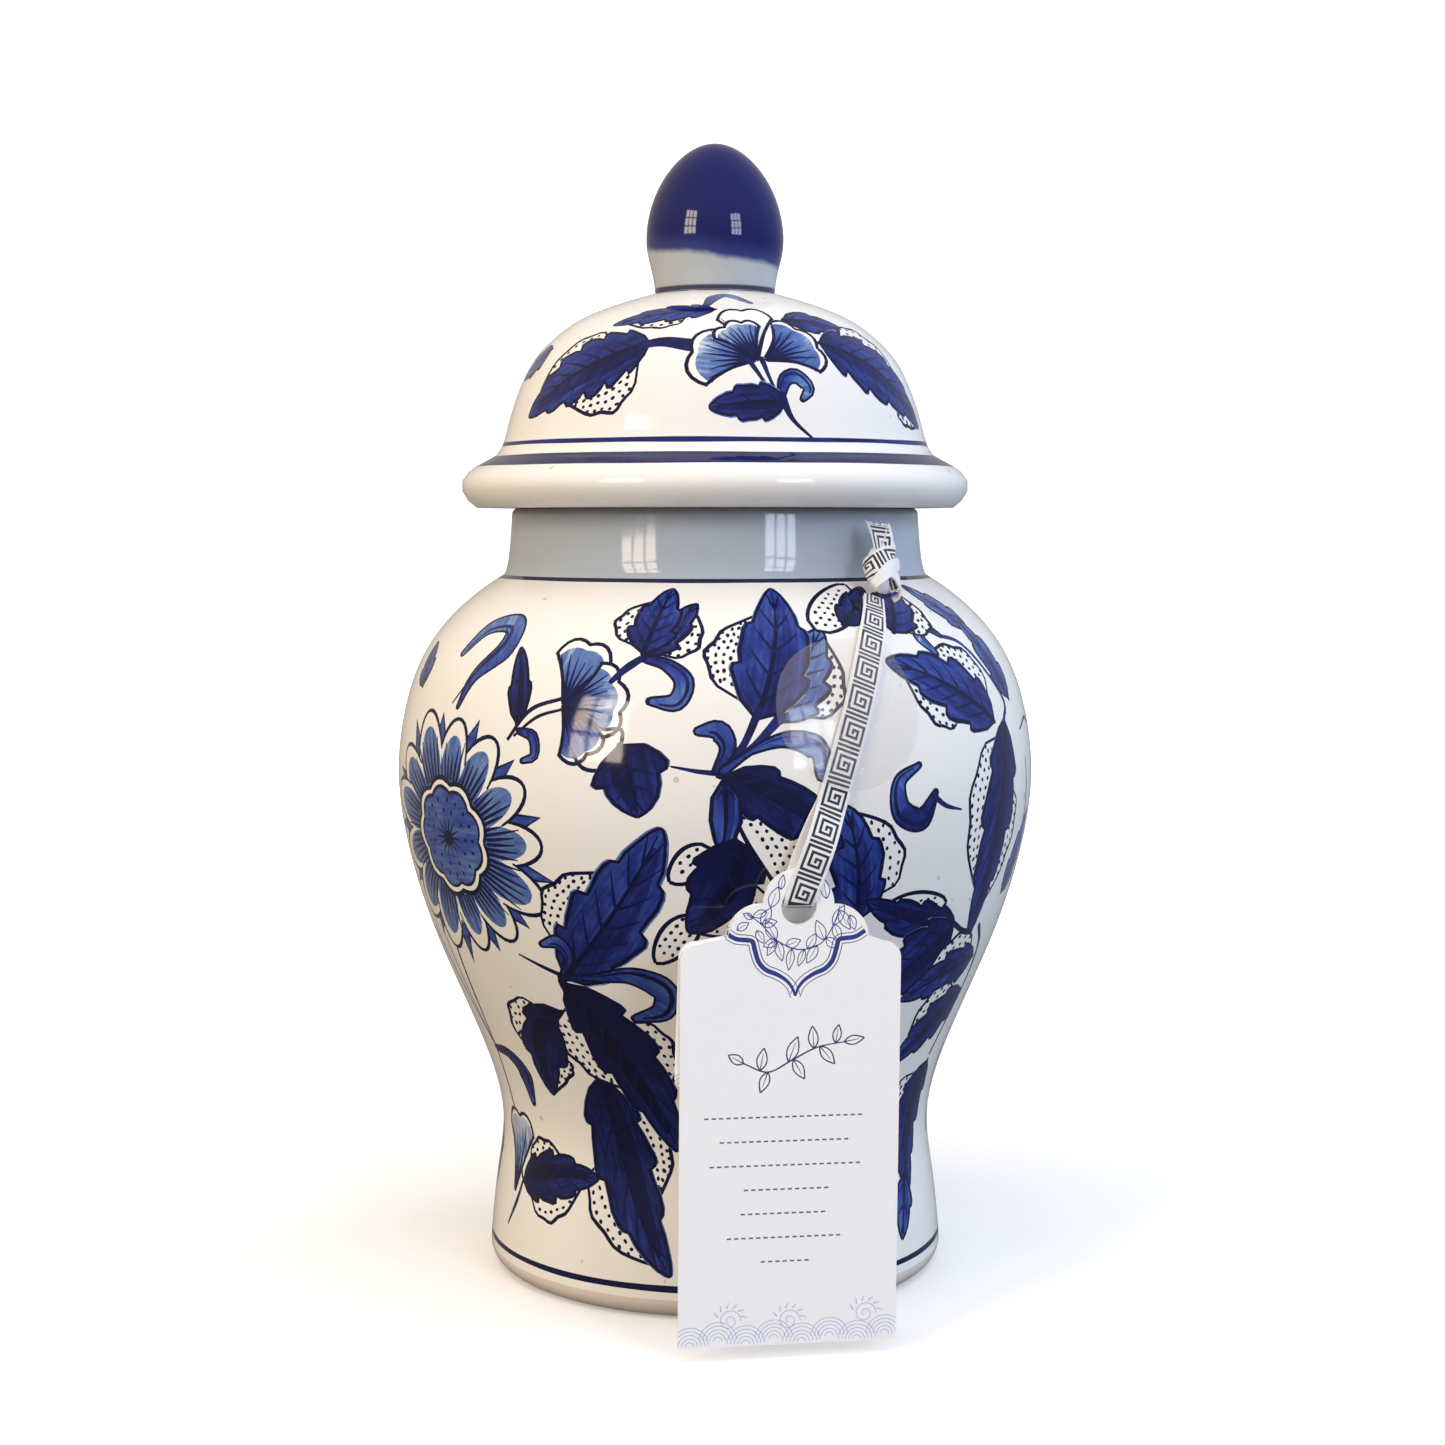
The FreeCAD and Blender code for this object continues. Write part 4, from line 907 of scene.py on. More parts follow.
WHITE_GLAZE = (0.83, 0.82, 0.80)
CELADON = (0.36, 0.43, 0.52)
CLAY = (0.66, 0.55, 0.47)
PINK_GLAZE = (0.74, 0.66, 0.60)
COBALT = [
    (0.00, (0.204, 0.361, 0.636)),
    (0.30, (0.1054, 0.19, 0.424)),
    (0.52, (0.034, 0.07125, 0.318)),
    (0.72, (0.01088, 0.0228, 0.1749)),
    (0.88, (0.00408, 0.0076, 0.06572)),
    (1.00, (0.00204, 0.00285, 0.02332)),
]


def porcelain(name):
    """Underglaze painting on porcelain: tones with the streaks of the brush, under a clear glaze."""
    n = Nodes(name)
    place = n.place()
    pigment = n.attribute("pigment").outputs["Fac"]
    brush = n.scaled(n.attribute("brush").outputs["Vector"], (0.10, 0.85, 1.0))
    streaks = n.noise(brush, 1.0, 3.0, 0.6)
    pools = n.noise(place, 260.0, 3.0, 0.55)
    change = n.math("ADD", n.math("MULTIPLY", n.math("SUBTRACT", streaks, 0.5), 0.55),
                    n.math("MULTIPLY", n.math("SUBTRACT", pools, 0.5), 0.30))
    washes = n.math("MULTIPLY", n.range(pigment, 0.03, 0.3), n.range(pigment, 0.97, 0.75))
    depth = n.math("ADD", pigment, n.math("MULTIPLY", change, n.math("ADD", washes, 0.06)), clamp=True)
    cover = n.range(depth, 0.015, 0.30, smooth=False)
    painted = n.range(pigment, 0.0, 0.03, smooth=False)
    cloud = n.noise(place, 22.0, 2.0)
    ground = n.mix(n.math("MULTIPLY", cloud, 0.22), n.attribute("ground").outputs["Color"],
                   (0.72, 0.70, 0.66))
    speck_field = n.noise(place, 330.0, 0.0)
    specks = n.math("MULTIPLY", n.range(speck_field, 0.845, 0.875), 0.4)
    ground = n.mix(specks, ground, (0.25, 0.16, 0.08))
    colour = n.mix(n.math("MULTIPLY", cover, painted), ground, n.ramp(depth, COBALT))
    waves = n.bump(n.noise(place, 38.0, 1.5), 0.00035, 0.5)
    pits = n.bump(n.noise(place, 700.0, 2.0), 0.00002, 0.4, waves)
    glaze = n.attribute("glaze").outputs["Fac"]
    roughness = n.range(glaze, 0.0, 1.0, 0.62, 0.07, smooth=False)
    return n.finish(Base_Color=colour, Roughness=roughness, Normal=pits, IOR=1.52,
                    Specular_IOR_Level=0.32,
                    Coat_Weight=0.1, Coat_Roughness=0.03)


def knob_glaze():
    """Deep cobalt with a wandering lower edge over a pale collar and a fine line at its foot."""
    n = Nodes("cobalt_glaze")
    place = n.place()
    split = n.add("ShaderNodeSeparateXYZ", {"Vector": place})
    x, _, z = split.outputs
    wander = n.math("MULTIPLY", n.math("SUBTRACT", n.noise(place, 110.0, 3.0, 0.6), 0.5), 0.0022)
    tilt = n.math("MULTIPLY", x, 0.13)
    level = n.math("ADD", n.math("ADD", z, tilt), wander)
    deep = n.range(level, 0.2270, 0.2288)
    thin = n.mix(n.range(level, 0.2272, 0.2330), (0.045, 0.06, 0.22), (0.0045, 0.0075, 0.085))
    cloud = n.noise(place, 90.0, 4.0, 0.6)
    thin = n.mix(n.math("MULTIPLY", cloud, 0.35), thin, (0.010, 0.018, 0.16))
    collar = n.mix(n.noise(place, 160.0, 3.0), (0.38, 0.42, 0.45), (0.50, 0.53, 0.55))
    line = n.math("MULTIPLY", n.range(z, 0.2218, 0.2213), 0.9)
    colour = n.mix(deep, n.mix(line, collar, (0.01, 0.012, 0.05)), thin)
    wave = n.bump(n.noise(place, 60.0, 1.5), 0.00035, 0.4)
    return n.finish(Base_Color=colour, Roughness=0.06, Normal=wave, IOR=1.52, Specular_IOR_Level=0.3,
                    Coat_Weight=0.15, Coat_Roughness=0.02)


# ---------------------------------------------------------------- jar and lid

# sizes that the sections share; the last two are the radii at which the paintings are laid out flat
BORE = 41.5
KNOB_FOOT = 13.5
LID_TOP = 220.5
RIM = 172.4
RIM_INNER = 42.9
RIM_OUTER = 44.7
RIM_SPRING = 171.0
SPIGOT_BORE = 36.8
SPIGOT_END = 163.4
SPIGOT_RADIUS = 40.3
WELL_TOP = 153.9
JAR_UNROLLED, LID_UNROLLED = 72.0, 48.0

WALL = b_spline([(52, 4.5), (51, 20.5), (46.5, 33.1), (55, 56.1), (65.5, 78.4), (72.5, 104),
                 (72.5, 125.1),
                 (64.5, 147.6), (48, 157.5)], 2400)
NECK = b_spline([(48, 157.5), (46.86, 159), (46.48, 164.5), (46.1, RIM_SPRING)], 24)
CAVITY = b_spline([(BORE, WELL_TOP), (60.9, 143.55), (68.0, 125.1), (68.0, 104), (61.2, 79.75),
                   (50.7, 57.45),
                   (42.0, 33.1), (42.0, 21.5)], 60)
UNDERSIDE = np.array([(0, 4.0), (20, 4.0), (40, 4.0)])
RING_BORE = np.array([(40, 4.0), (40, 0.0)])
RING = np.array([(40, 0.0), (47.5, 0.0)])
FLOOR = np.array([(30.0, 9.5), (15.0, 9.5), (0.0, 9.5)])

jar_pieces = [
    (UNDERSIDE, (*WHITE_GLAZE, 1), 1.0),
    (RING_BORE, (*CLAY, 1), 0.0),
    (RING, (*CLAY, 1), 0.0),
    (arc((47.5, 4.5), 4.5, -90, 0, 12), (*PINK_GLAZE, 1), 0.85),
    (WALL, (*WHITE_GLAZE, 1), 1.0),
    (NECK, (*CELADON, 1), 1.0),
    (arc((RIM_OUTER, RIM_SPRING), 1.4, 0, 90, 8), (*CELADON, 1), 1.0),
    (np.array([(RIM_OUTER, RIM), (RIM_INNER, RIM)]), (*CLAY, 1), 0.2),
    (arc((RIM_INNER, RIM_SPRING), 1.4, 90, 180, 8), (*CELADON, 1), 1.0),
    (np.array([(BORE, RIM_SPRING), (BORE, 165.0), (BORE, 158.0), (BORE, WELL_TOP)]), (*WHITE_GLAZE, 1),
     1.0),
    (CAVITY, (*WHITE_GLAZE, 1), 1.0),
    (arc((30.0, 21.5), 12.0, 0, -90, 12), (*WHITE_GLAZE, 1), 1.0),
    (FLOOR, (*WHITE_GLAZE, 1), 1.0),
]
jar_painting = WallPainting(WALL, JAR_UNROLLED, SEAM)
paint_jar(jar_painting)
jar_painting.band(float(jar_painting.along(6.2)), float(jar_painting.along(7.5)), 0.93, 0.08)
jar_painting.band(jar_painting.length - 1.5, jar_painting.length, 0.94, 0.08)
jar_glaze = porcelain("painted_porcelain")
jar_skin = turned("jar_painted_body", jar_pieces, 4, jar_painting, JAR_UNROLLED, jar_glaze)
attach(jar_skin, "jar")
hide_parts("jar_body")

LID = b_spline([(54, RIM), (56.5, 174), (58.5, 178), (55, 181.5), (49.5, 184), (48.5, 185.5), (47.5, 188),
                (46, 194.5), (42, 205), (36, 211), (28.5, 216.5), (KNOB_FOOT, LID_TOP)], 2000)
LID_INSIDE = b_spline([(0, 216), (12.15, 216), (26.25, 212.45), (32.4, 208.3), (37.95, 203.2),
                       (BORE, 194.5),
                       (38.8, 182.0), (SPIGOT_BORE, 176.2)], 50)
lid_pieces = [
    (LID_INSIDE, (*WHITE_GLAZE, 1), 1.0),
    (np.array([(SPIGOT_BORE, 176.2), (SPIGOT_BORE, 170.0), (SPIGOT_BORE, SPIGOT_END)]), (*WHITE_GLAZE, 1),
     1.0),
    (np.array([(SPIGOT_BORE, SPIGOT_END), (SPIGOT_RADIUS, SPIGOT_END)]), (*CLAY, 1), 0.1),
    (np.array([(SPIGOT_RADIUS, SPIGOT_END), (SPIGOT_RADIUS, 168.0), (SPIGOT_RADIUS, RIM)]), (*CLAY, 1),
     0.1),
    (np.array([(SPIGOT_RADIUS, RIM), (47.0, RIM), (54.0, RIM)]), (*CLAY, 1), 0.1),
    (LID, (*WHITE_GLAZE, 1), 1.0),
    (np.array([(KNOB_FOOT, LID_TOP), (7.0, LID_TOP), (0.0, LID_TOP)]), (*WHITE_GLAZE, 1), 1.0),
]
lid_painting = WallPainting(LID, LID_UNROLLED, SEAM)
paint_lid(lid_painting)


def lid_along(height):
    """Place on the lid's line of a height above its lip."""
    upper = LID[:, 1] > 179
    return float(np.interp(height, LID[upper, 1], lid_painting.arc[upper]))


lid_painting.band(lid_along(186.0), lid_along(187.0), 0.80, 0.07)
lid_painting.band(lid_along(181.5), lid_along(183.9), 0.86, 0.10, 1.0)
lid_painting.band(lid_along(220.1), lid_along(220.4), 0.90, 0.02)
lid_skin = turned("lid_painted_dome", lid_pieces, 5, lid_painting, LID_UNROLLED, jar_glaze)
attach(lid_skin, "lid")
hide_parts("lid")

KNOB = b_spline([(KNOB_FOOT, LID_TOP), (14, 226), (16.5, 230), (14, 245.5), (5, 254), (0, 254)], 60)
knob = turned("lid_cobalt_knob", [(np.array([(0, LID_TOP), (KNOB_FOOT, LID_TOP)]), (1, 1, 1, 1), 1.0),
                                  (KNOB, (1, 1, 1, 1), 1.0)],
              None, None, 14.0, knob_glaze())
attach(knob, "lid")
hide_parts("lid_knob")

# ---------------------------------------------------------------- sheets: ribbon, knot, cards, seal


def unit(v):
    return v / np.maximum(np.linalg.norm(v, axis=-1), 1e-9)[..., None]


def thick_sheet(name, flat, triangles, tones, front, back, material):
    """A thin sheet: its printed front, plain back and cut edge, from the places of its flat points."""
    count = len(flat)
    points = np.r_[front, back]

    def vertex_normals(places):
        a, b, c = (places[triangles[:, k]] for k in range(3))
        face = np.cross(b - a, c - a)
        total = np.zeros_like(places)
        for k in range(3):
            np.add.at(total, triangles[:, k], face)
        return unit(total)

    edges = np.r_[triangles[:, [0, 1]], triangles[:, [1, 2]], triangles[:, [2, 0]]]
    known = set(map(tuple, edges.tolist()))
    rim = np.array([e for e in edges.tolist() if (e[1], e[0]) not in known])
    faces = triangles.tolist() + (triangles[:, ::-1] + count).tolist()
    sides = np.c_[rim[:, 0], rim[:, 0] + count, rim[:, 1] + count, rim[:, 1]]
    faces += sides.tolist()
    front_normals, back_normals = vertex_normals(front), -vertex_normals(back)
    side = unit(np.cross(points[sides[:, 1]] - points[sides[:, 0]],
                         points[sides[:, 3]] - points[sides[:, 0]]))
    low, high = flat.min(axis=0), flat.max(axis=0)
    uv = (flat - low) / (high - low)
    corners = len(sides) * 4
    loops = {
        "pigment": np.r_[tones.ravel(), np.zeros(triangles.size + corners)],
        "uv": np.r_[uv[triangles].reshape(-1, 2) * (0.48, 1),
                    uv[triangles[:, ::-1]].reshape(-1, 2) * (0.48, 1) + (0.5, 0),
                    np.tile([(0.985, 0), (0.995, 0), (0.995, 1), (0.985, 1)], (len(sides), 1))],
        "normal": np.r_[front_normals[triangles].reshape(-1, 3),
                        back_normals[triangles[:, ::-1]].reshape(-1, 3),
                        np.repeat(side, 4, axis=0)],
        "strand": np.r_[np.c_[flat, np.zeros(count)][triangles].reshape(-1, 3),
                        np.c_[flat, np.ones(count)][triangles[:, ::-1]].reshape(-1, 3),
                        np.zeros((corners, 3))],
    }
    return corners_mesh(name, points, faces, loops, [material])


def fabric(name):
    """A satin ribbon with a black print: fine weft ribs and warp threads."""
    n = Nodes(name)
    strand = n.attribute("strand").outputs["Vector"]
    pigment = n.attribute("pigment").outputs["Fac"]
    rib = n.add("ShaderNodeTexWave", {"Vector": strand, "Scale": 1.1, "Distortion": 0.3, "Detail": 1.0},
                bands_direction="Y")
    warp = n.add("ShaderNodeTexWave", {"Vector": strand, "Scale": 1.6, "Distortion": 0.4, "Detail": 1.0},
                 bands_direction="X")
    threads = n.math("ADD", rib.outputs["Fac"], n.math("MULTIPLY", warp.outputs["Fac"], 0.6))
    cloud = n.noise(n.place(), 420.0, 3.0)
    cloth = n.mix(n.math("MULTIPLY", cloud, 0.5), (0.86, 0.86, 0.88), (0.74, 0.74, 0.78))
    ink = n.mix(cloud, (0.012, 0.012, 0.016), (0.035, 0.035, 0.045))
    ragged = n.math("ADD", pigment, n.math("MULTIPLY", n.math("SUBTRACT", threads, 0.8), 0.12))
    colour = n.mix(n.range(ragged, 0.42, 0.58), cloth, ink)
    bumps = n.bump(threads, 0.00006, 0.6)
    return n.finish(Base_Color=colour, Roughness=0.52, Normal=bumps, Sheen_Weight=0.25,
                    Specular_IOR_Level=0.35)


RIBBON = fabric("printed_ribbon_satin")
WIDTH, THICK = 6.35, 0.4
PITCH = 6.9
KEY = [(2.25, 5.35), (-2.25, 5.35), (-2.25, 0.35), (2.25, 0.35), (2.25, 4.2), (-1.1, 4.2), (-1.1, 1.5),
       (1.1, 1.5),
       (1.1, 3.05), (0.05, 3.05), (0.05, 2.45)]
LINE = 0.56


def greek_key(painting, low, high, offset=0.0):
    """Square spirals up the ribbon, with a bar between each two."""
    first = int(math.floor((low - offset) / PITCH))
    for cell in range(first, int(math.ceil((high - offset) / PITCH)) + 1):
        base = offset + cell * PITCH
        bars = list(zip(KEY[:-1], KEY[1:])) + [((-2.25, 6.28), (2.25, 6.28))]
        for (x0, y0), (x1, y1) in bars:
            left, right = min(x0, x1) - LINE / 2, max(x0, x1) + LINE / 2
            bottom, top = base + min(y0, y1) - LINE / 2, base + max(y0, y1) + LINE / 2
            bottom, top = max(bottom, low + 0.05), min(top, high - 0.05)
            if top - bottom > 0.1:
                painting.fill([(left, bottom), (right, bottom), (right, top), (left, top)], 1.0)


def strip(name, path, outward, widths, printed, offset=0.0, curl=0.0, thick=THICK, step=0.8,
          pinked=False):
    """A strip of ribbon along a line, its face turned outward. Curl lifts its edges, or below 0 lowers them."""
    far = lengths(path)
    painting = Painting()
    half = WIDTH / 2
    ends = [(-half, 0), (half, 0), (half, far[-1]), (-half, far[-1])]
    if pinked:
        teeth = [(half - WIDTH * k / 8, far[-1] - (0.8 if k % 2 else 0.0)) for k in range(9)]
        ends = ends[:2] + teeth
    if printed:
        greek_key(painting, 0, far[-1] - (0.9 if pinked else 0.0), offset)
    extra = [(x, y) for y in np.arange(step, far[-1], step) for x in np.linspace(-half, half, 9)]
    flat, triangles, tones, _ = cut_up(painting, extra, ends)

    def at(values, y):
        return np.stack([np.interp(y, far, values[:, k]) for k in range(3)], -1)

    along = unit(np.gradient(path, axis=0))
    middle, way, out = at(path, flat[:, 1]), unit(at(along, flat[:, 1])), at(outward, flat[:, 1])
    across = unit(np.cross(way, out))
    out = unit(np.cross(across, way))
    share = flat[:, :1] / half
    scale = np.interp(flat[:, 1], np.linspace(0, far[-1], len(widths)), widths)[:, None] / WIDTH
    crown = curl * share**2 * scale
    front = middle + across * flat[:, :1] * scale + out * (thick / 2 + crown)
    back = middle + across * flat[:, :1] * scale + out * (crown - thick / 2)
    return thick_sheet(name, flat, triangles, tones, front, back, RIBBON)


def wall_point(azimuth, height, lift):
    """A point over the glaze and the direction out of it."""
    slope = np.gradient(WALL, axis=0)
    radius = np.interp(height, WALL[:, 1], WALL[:, 0])
    lean = math.atan2(-np.interp(height, WALL[:, 1], slope[:, 0]),
                      np.interp(height, WALL[:, 1], slope[:, 1]))
    a = math.radians(azimuth)
    side = np.array([math.sin(a), -math.cos(a), 0])
    out = side * math.cos(lean) + UP * math.sin(lean)
    return side * radius + UP * height + out * lift, out


YAW = math.radians(9.5)
ACROSS = np.array([math.cos(YAW), math.sin(YAW), 0])
FORWARD = np.array([math.sin(YAW), -math.cos(YAW), 0])
HOLE = np.array([16.985, -73.327, 92.6])
STRAND_ROUTE = [(1.0, 37.3), (0.9, 33.8), (0.78, 30.2), (0.6, 26.6), (0.4, 23.6), (0.2, 21.0),
                (0.0, 18.9)]
BEND_HEIGHT, STRAND_TOP = 112.5, 152.9
FRONT_LIFT, BACK_LIFT = 1.1, 0.45


def upper_route(lift, sidestep):
    points = []
    for share, azimuth in STRAND_ROUTE:
        height = BEND_HEIGHT + share * (STRAND_TOP - BEND_HEIGHT)
        radius = float(np.interp(height, WALL[:, 1], WALL[:, 0]))
        drift = math.degrees(sidestep * math.sin(math.pi * share) / radius)
        points.append(tuple(wall_point(azimuth + drift, height, lift)[0]))
    return points


FRONT_ROUTE = upper_route(FRONT_LIFT, 0.0) + [
    (22.8, -71.1, 109.4), (21.8, -72.6, 106.2), (20.7, -73.4, 103.1), (19.5, -73.6, 100.0),
    (18.3, -73.9, 96.8),
    (17.2, -74.1, 94.0), (16.9, -73.7, 92.7), (16.9, -73.0, 92.5),
]
BACK_ROUTE = upper_route(BACK_LIFT, 1.4) + [
    (21.8, -69.9, 109.4), (20.4, -70.6, 106.2), (19.1, -71.2, 103.1), (18.0, -71.6, 100.0),
    (17.0, -71.7, 96.8),
    (16.5, -71.8, 94.2), (16.6, -72.2, 93.2), (16.8, -72.9, 92.8),
]


def nurbs_line(points):
    """The smooth line of a route, as its NURBS spline has it."""
    curve = bpy.data.curves.new("route", "CURVE")
    curve.dimensions = "3D"
    spline = curve.splines.new("NURBS")
    spline.points.add(len(points) - 1)
    for control, point in zip(spline.points, points):
        control.co = (*point, 1.0)
    spline.order_u = 3
    spline.use_endpoint_u = True
    spline.resolution_u = 12
    holder = bpy.data.objects.new("route", curve)
    bpy.context.scene.collection.objects.link(holder)
    mesh = bpy.data.meshes.new_from_object(holder)
    line = np.array([tuple(v.co) for v in mesh.vertices])
    bpy.data.objects.remove(holder)
    return line


def facing(line, back):
    """Directions out of a strand's face: out of the glaze above the bend, out of the cards below it,
    and round the bight in their hole."""
    outward = []
    for x, y, z in line:
        azimuth = math.degrees(math.atan2(x, -y))
        over = wall_point(azimuth, max(z, BEND_HEIGHT), 0)[1]
        share = min(max((BEND_HEIGHT - z) / 12.0, 0), 1)
        out = over + (FORWARD - over) * share
        dip = min(max((94.4 - z) / 1.8, 0), 1) * math.pi / 2
        outward.append(out * math.cos(dip) + UP * math.sin(dip) * (1 if back else -1))
    return unit(np.array(outward))


front_line, back_line = nurbs_line(FRONT_ROUTE), nurbs_line(BACK_ROUTE)
front_strand = strip("ribbon_front_strand", front_line[::-1], facing(front_line[::-1], False),
                     (6.2, 6.35, 6.35, 6.35, 6.35, 5.9, 4.4),
                     True, 0.9, curl=-0.15)
back_strand = strip("ribbon_back_strand", back_line[::-1], facing(back_line[::-1], True),
                    (6.2, 6.35, 6.35, 6.35, 5.9, 4.4),
                    False, curl=-0.1)
for strand, line, node in ((front_strand, front_line, "ribbon_front"),
                           (back_strand, back_line, "ribbon_back")):
    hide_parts(node, "ribbon_drop")

# the knot, in its own frame: right, up along it, and out of its face
TILT = math.radians(32)
knot_out = np.array([math.sin(math.radians(40)), -math.cos(math.radians(40)), 0])
KNOT_UP = UP * math.cos(TILT) + np.array([0, 1, 0]) * math.sin(TILT)
knot_centre = knot_out * 54.72 + UP * 159.18
knot_out = unit(knot_out - KNOT_UP * knot_out.dot(KNOT_UP))
KNOT_RIGHT = np.cross(KNOT_UP, knot_out)


def knot_place(points):
    points = np.asarray(points, float)
    return knot_centre + points[:, :1] * KNOT_RIGHT + points[:, 1:2] * KNOT_UP + points[:, 2:3] * knot_out


def knot_band(name, points, widths, printed, offset=0.0, curl=-0.3, flare=(0, 0, 0), pinked=False):
    """A turn of ribbon over the knot, its face away from the knot's middle line."""
    local = through(points, 0.5)
    away = local * (0.9, 0.05, 1.0) + np.array([0, 0, 0.6]) + np.array(flare)
    band = strip(name, knot_place(local), unit(knot_place(away) - knot_centre), widths, printed, offset,
                 curl, 0.38, 0.6, pinked)
    return band


core_turns = np.radians(np.arange(48) * 7.5)
core_points, core_faces = [], []
for level in np.linspace(-1, 1, 25):
    reach = max(1 - abs(level) ** 2.6, 0.02) ** 0.42
    for a in core_turns:
        ripple = 1 + 0.05 * math.sin(3 * a + level * 5)
        core_points.append((3.5 * reach * math.cos(a) * ripple, 5.4 * level,
                            2.15 * reach * math.sin(a) * ripple))
for level in range(24):
    for k in range(48):
        corner, beside = level * 48 + k, level * 48 + (k + 1) % 48
        core_faces.append((corner, corner + 48, beside + 48, beside))
core_faces += [tuple(range(48)), tuple(range(24 * 48 + 47, 24 * 48 - 1, -1))]
core_count = sum(len(f) for f in core_faces)
knot = corners_mesh("ribbon_knot_core", knot_place(core_points), core_faces,
                    {"pigment": np.zeros(core_count)}, [RIBBON])
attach(knot, "jar")
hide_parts("ribbon_knot")
bands = [
    knot_band("ribbon_tail_printed", [(-0.4, 2.6, 0.5), (-1.0, 6.0, 1.2), (-1.5, 8.6, 1.0),
                                      (-1.7, 10.8, 0.4)],
              (4.2, 5.6, 6.0, 6.1), True, 0.4, 0.5, (0, 0, 4), True),
    knot_band("ribbon_tail_plain", [(0.6, 2.6, -0.3), (1.6, 6.0, 0.3), (2.2, 8.4, 0.2),
                                    (2.5, 10.4, -0.4)],
              (4.0, 5.2, 5.4, 5.6), False, 0.0, 0.8, (0, 0, 4), True),
    knot_band("ribbon_turn_printed", [(4.0, 3.3, -0.6), (3.0, 2.9, 1.6), (0.4, 1.7, 2.75),
                                      (-2.4, 0.2, 2.3), (-4.0, -1.0, 0.0), (-3.6, -1.6, -1.4)],
              (4.8, 5.6, 6.2, 6.1, 5.6, 5.0), True, 2.6),
    knot_band("ribbon_turn_under", [(0.4, -4.0, 1.6), (2.2, -2.6, 2.3), (3.9, -1.0, 1.2),
                                    (4.1, 0.0, -0.8)],
              (3.6, 4.4, 4.6, 4.0), True, 1.0),
    knot_band("ribbon_turn_white", [(-3.2, -5.0, 0.4), (-2.5, -3.4, 2.3), (-0.4, -0.8, 3.2),
                                    (2.4, 1.2, 2.8), (4.3, 1.9, 0.8), (4.0, 1.8, -1.2)],
              (2.2, 2.7, 3.0, 2.9, 2.4, 2.0), False),
    knot_band("ribbon_turn_low", [(-1.8, -1.9, 2.6), (0.6, -2.2, 3.25), (2.8, -3.6, 2.7),
                                  (3.9, -5.2, 1.4), (3.4, -6.0, 0.0)],
              (1.8, 2.5, 2.6, 2.4, 1.8), False),
]
for band in bands:
    band.parent = knot

# ---------------------------------------------------------------- cards


def arc_between(start, end, radius, steps=14):
    """A rounded stretch of a card's edge that turns left from start to end."""
    start, end = np.array(start, float), np.array(end, float)
    chord = end - start
    half = np.linalg.norm(chord) / 2
    left = np.array([-chord[1], chord[0]]) / (2 * half)
    centre = (start + end) / 2 + left * math.sqrt(max(radius**2 - half**2, 0))
    a0 = math.atan2(*(start - centre)[::-1])
    a1 = math.atan2(*(end - centre)[::-1])
    if a1 < a0:
        a1 += 2 * math.pi
    return arc(centre, radius, math.degrees(a0), math.degrees(a1), steps)


CARD_LEFT, CARD_RIGHT, CARD_THICK, HOLE_RADIUS = -23.9, 21.1, 0.5, 3.6
SHOULDER, SHOULDER_ROUND = -7.2, 3.5
LOBE_FOOT, LOBE_TOP, LOBE_ROUND = (14.4, -6.0), (7.2, 0.5), 7.0
ARCH_TOP, ARCH_RADIUS = 7.7, 7.2
FRONT_DROP, BACK_DROP = 89.6, 38.0


def card_outline(drop, corner):
    """The edge of a card with shoulders, a lobe at each side and an arch round its hole."""
    right, left, down = CARD_RIGHT, CARD_LEFT, SHOULDER - SHOULDER_ROUND

    def mirrored(point):
        return -point[0], point[1]

    return np.r_[
        [(left + corner, -drop)],
        arc_between((right - corner, -drop), (right, -drop + corner), corner),
        arc_between((right, down), (right - SHOULDER_ROUND, SHOULDER), SHOULDER_ROUND),
        arc_between(LOBE_FOOT, LOBE_TOP, LOBE_ROUND),
        arc_between(LOBE_TOP, (0, ARCH_TOP), ARCH_RADIUS),
        arc_between((0, ARCH_TOP), mirrored(LOBE_TOP), ARCH_RADIUS),
        arc_between(mirrored(LOBE_TOP), mirrored(LOBE_FOOT), LOBE_ROUND),
        arc_between((left + SHOULDER_ROUND, SHOULDER), (left, down), SHOULDER_ROUND),
        arc_between((left, -drop + corner), (left + corner, -drop), corner)[:-1],
    ]


def sprig(p, stem, leaves, tone=1.0, line=0.22):
    """A drawn stem with open leaves: each a foot, a direction in degrees, a length and a width."""
    p.stroke(through(stem, 0.8), (line, line * 1.2, line * 0.8), tone)
    for x, y, aim, size, wide in leaves:
        t = np.linspace(0, 1, 9)
        turn = math.radians(aim)
        way = np.array([math.cos(turn), math.sin(turn)])
        side = np.array([-math.sin(turn), math.cos(turn)])
        for sign in (1, -1):
            bulge = np.sin(math.pi * t**0.85) * wide / 2 * sign
            edge = np.array([x, y]) + np.outer(t * size, way) + np.outer(bulge, side)
            p.stroke(edge, (line, line * 0.9, line), tone, cap=False)
        p.stroke(np.array([x, y]) + np.outer(t[:7] * size, way), (line * 0.8, line * 0.4), tone,
                 cap=False)


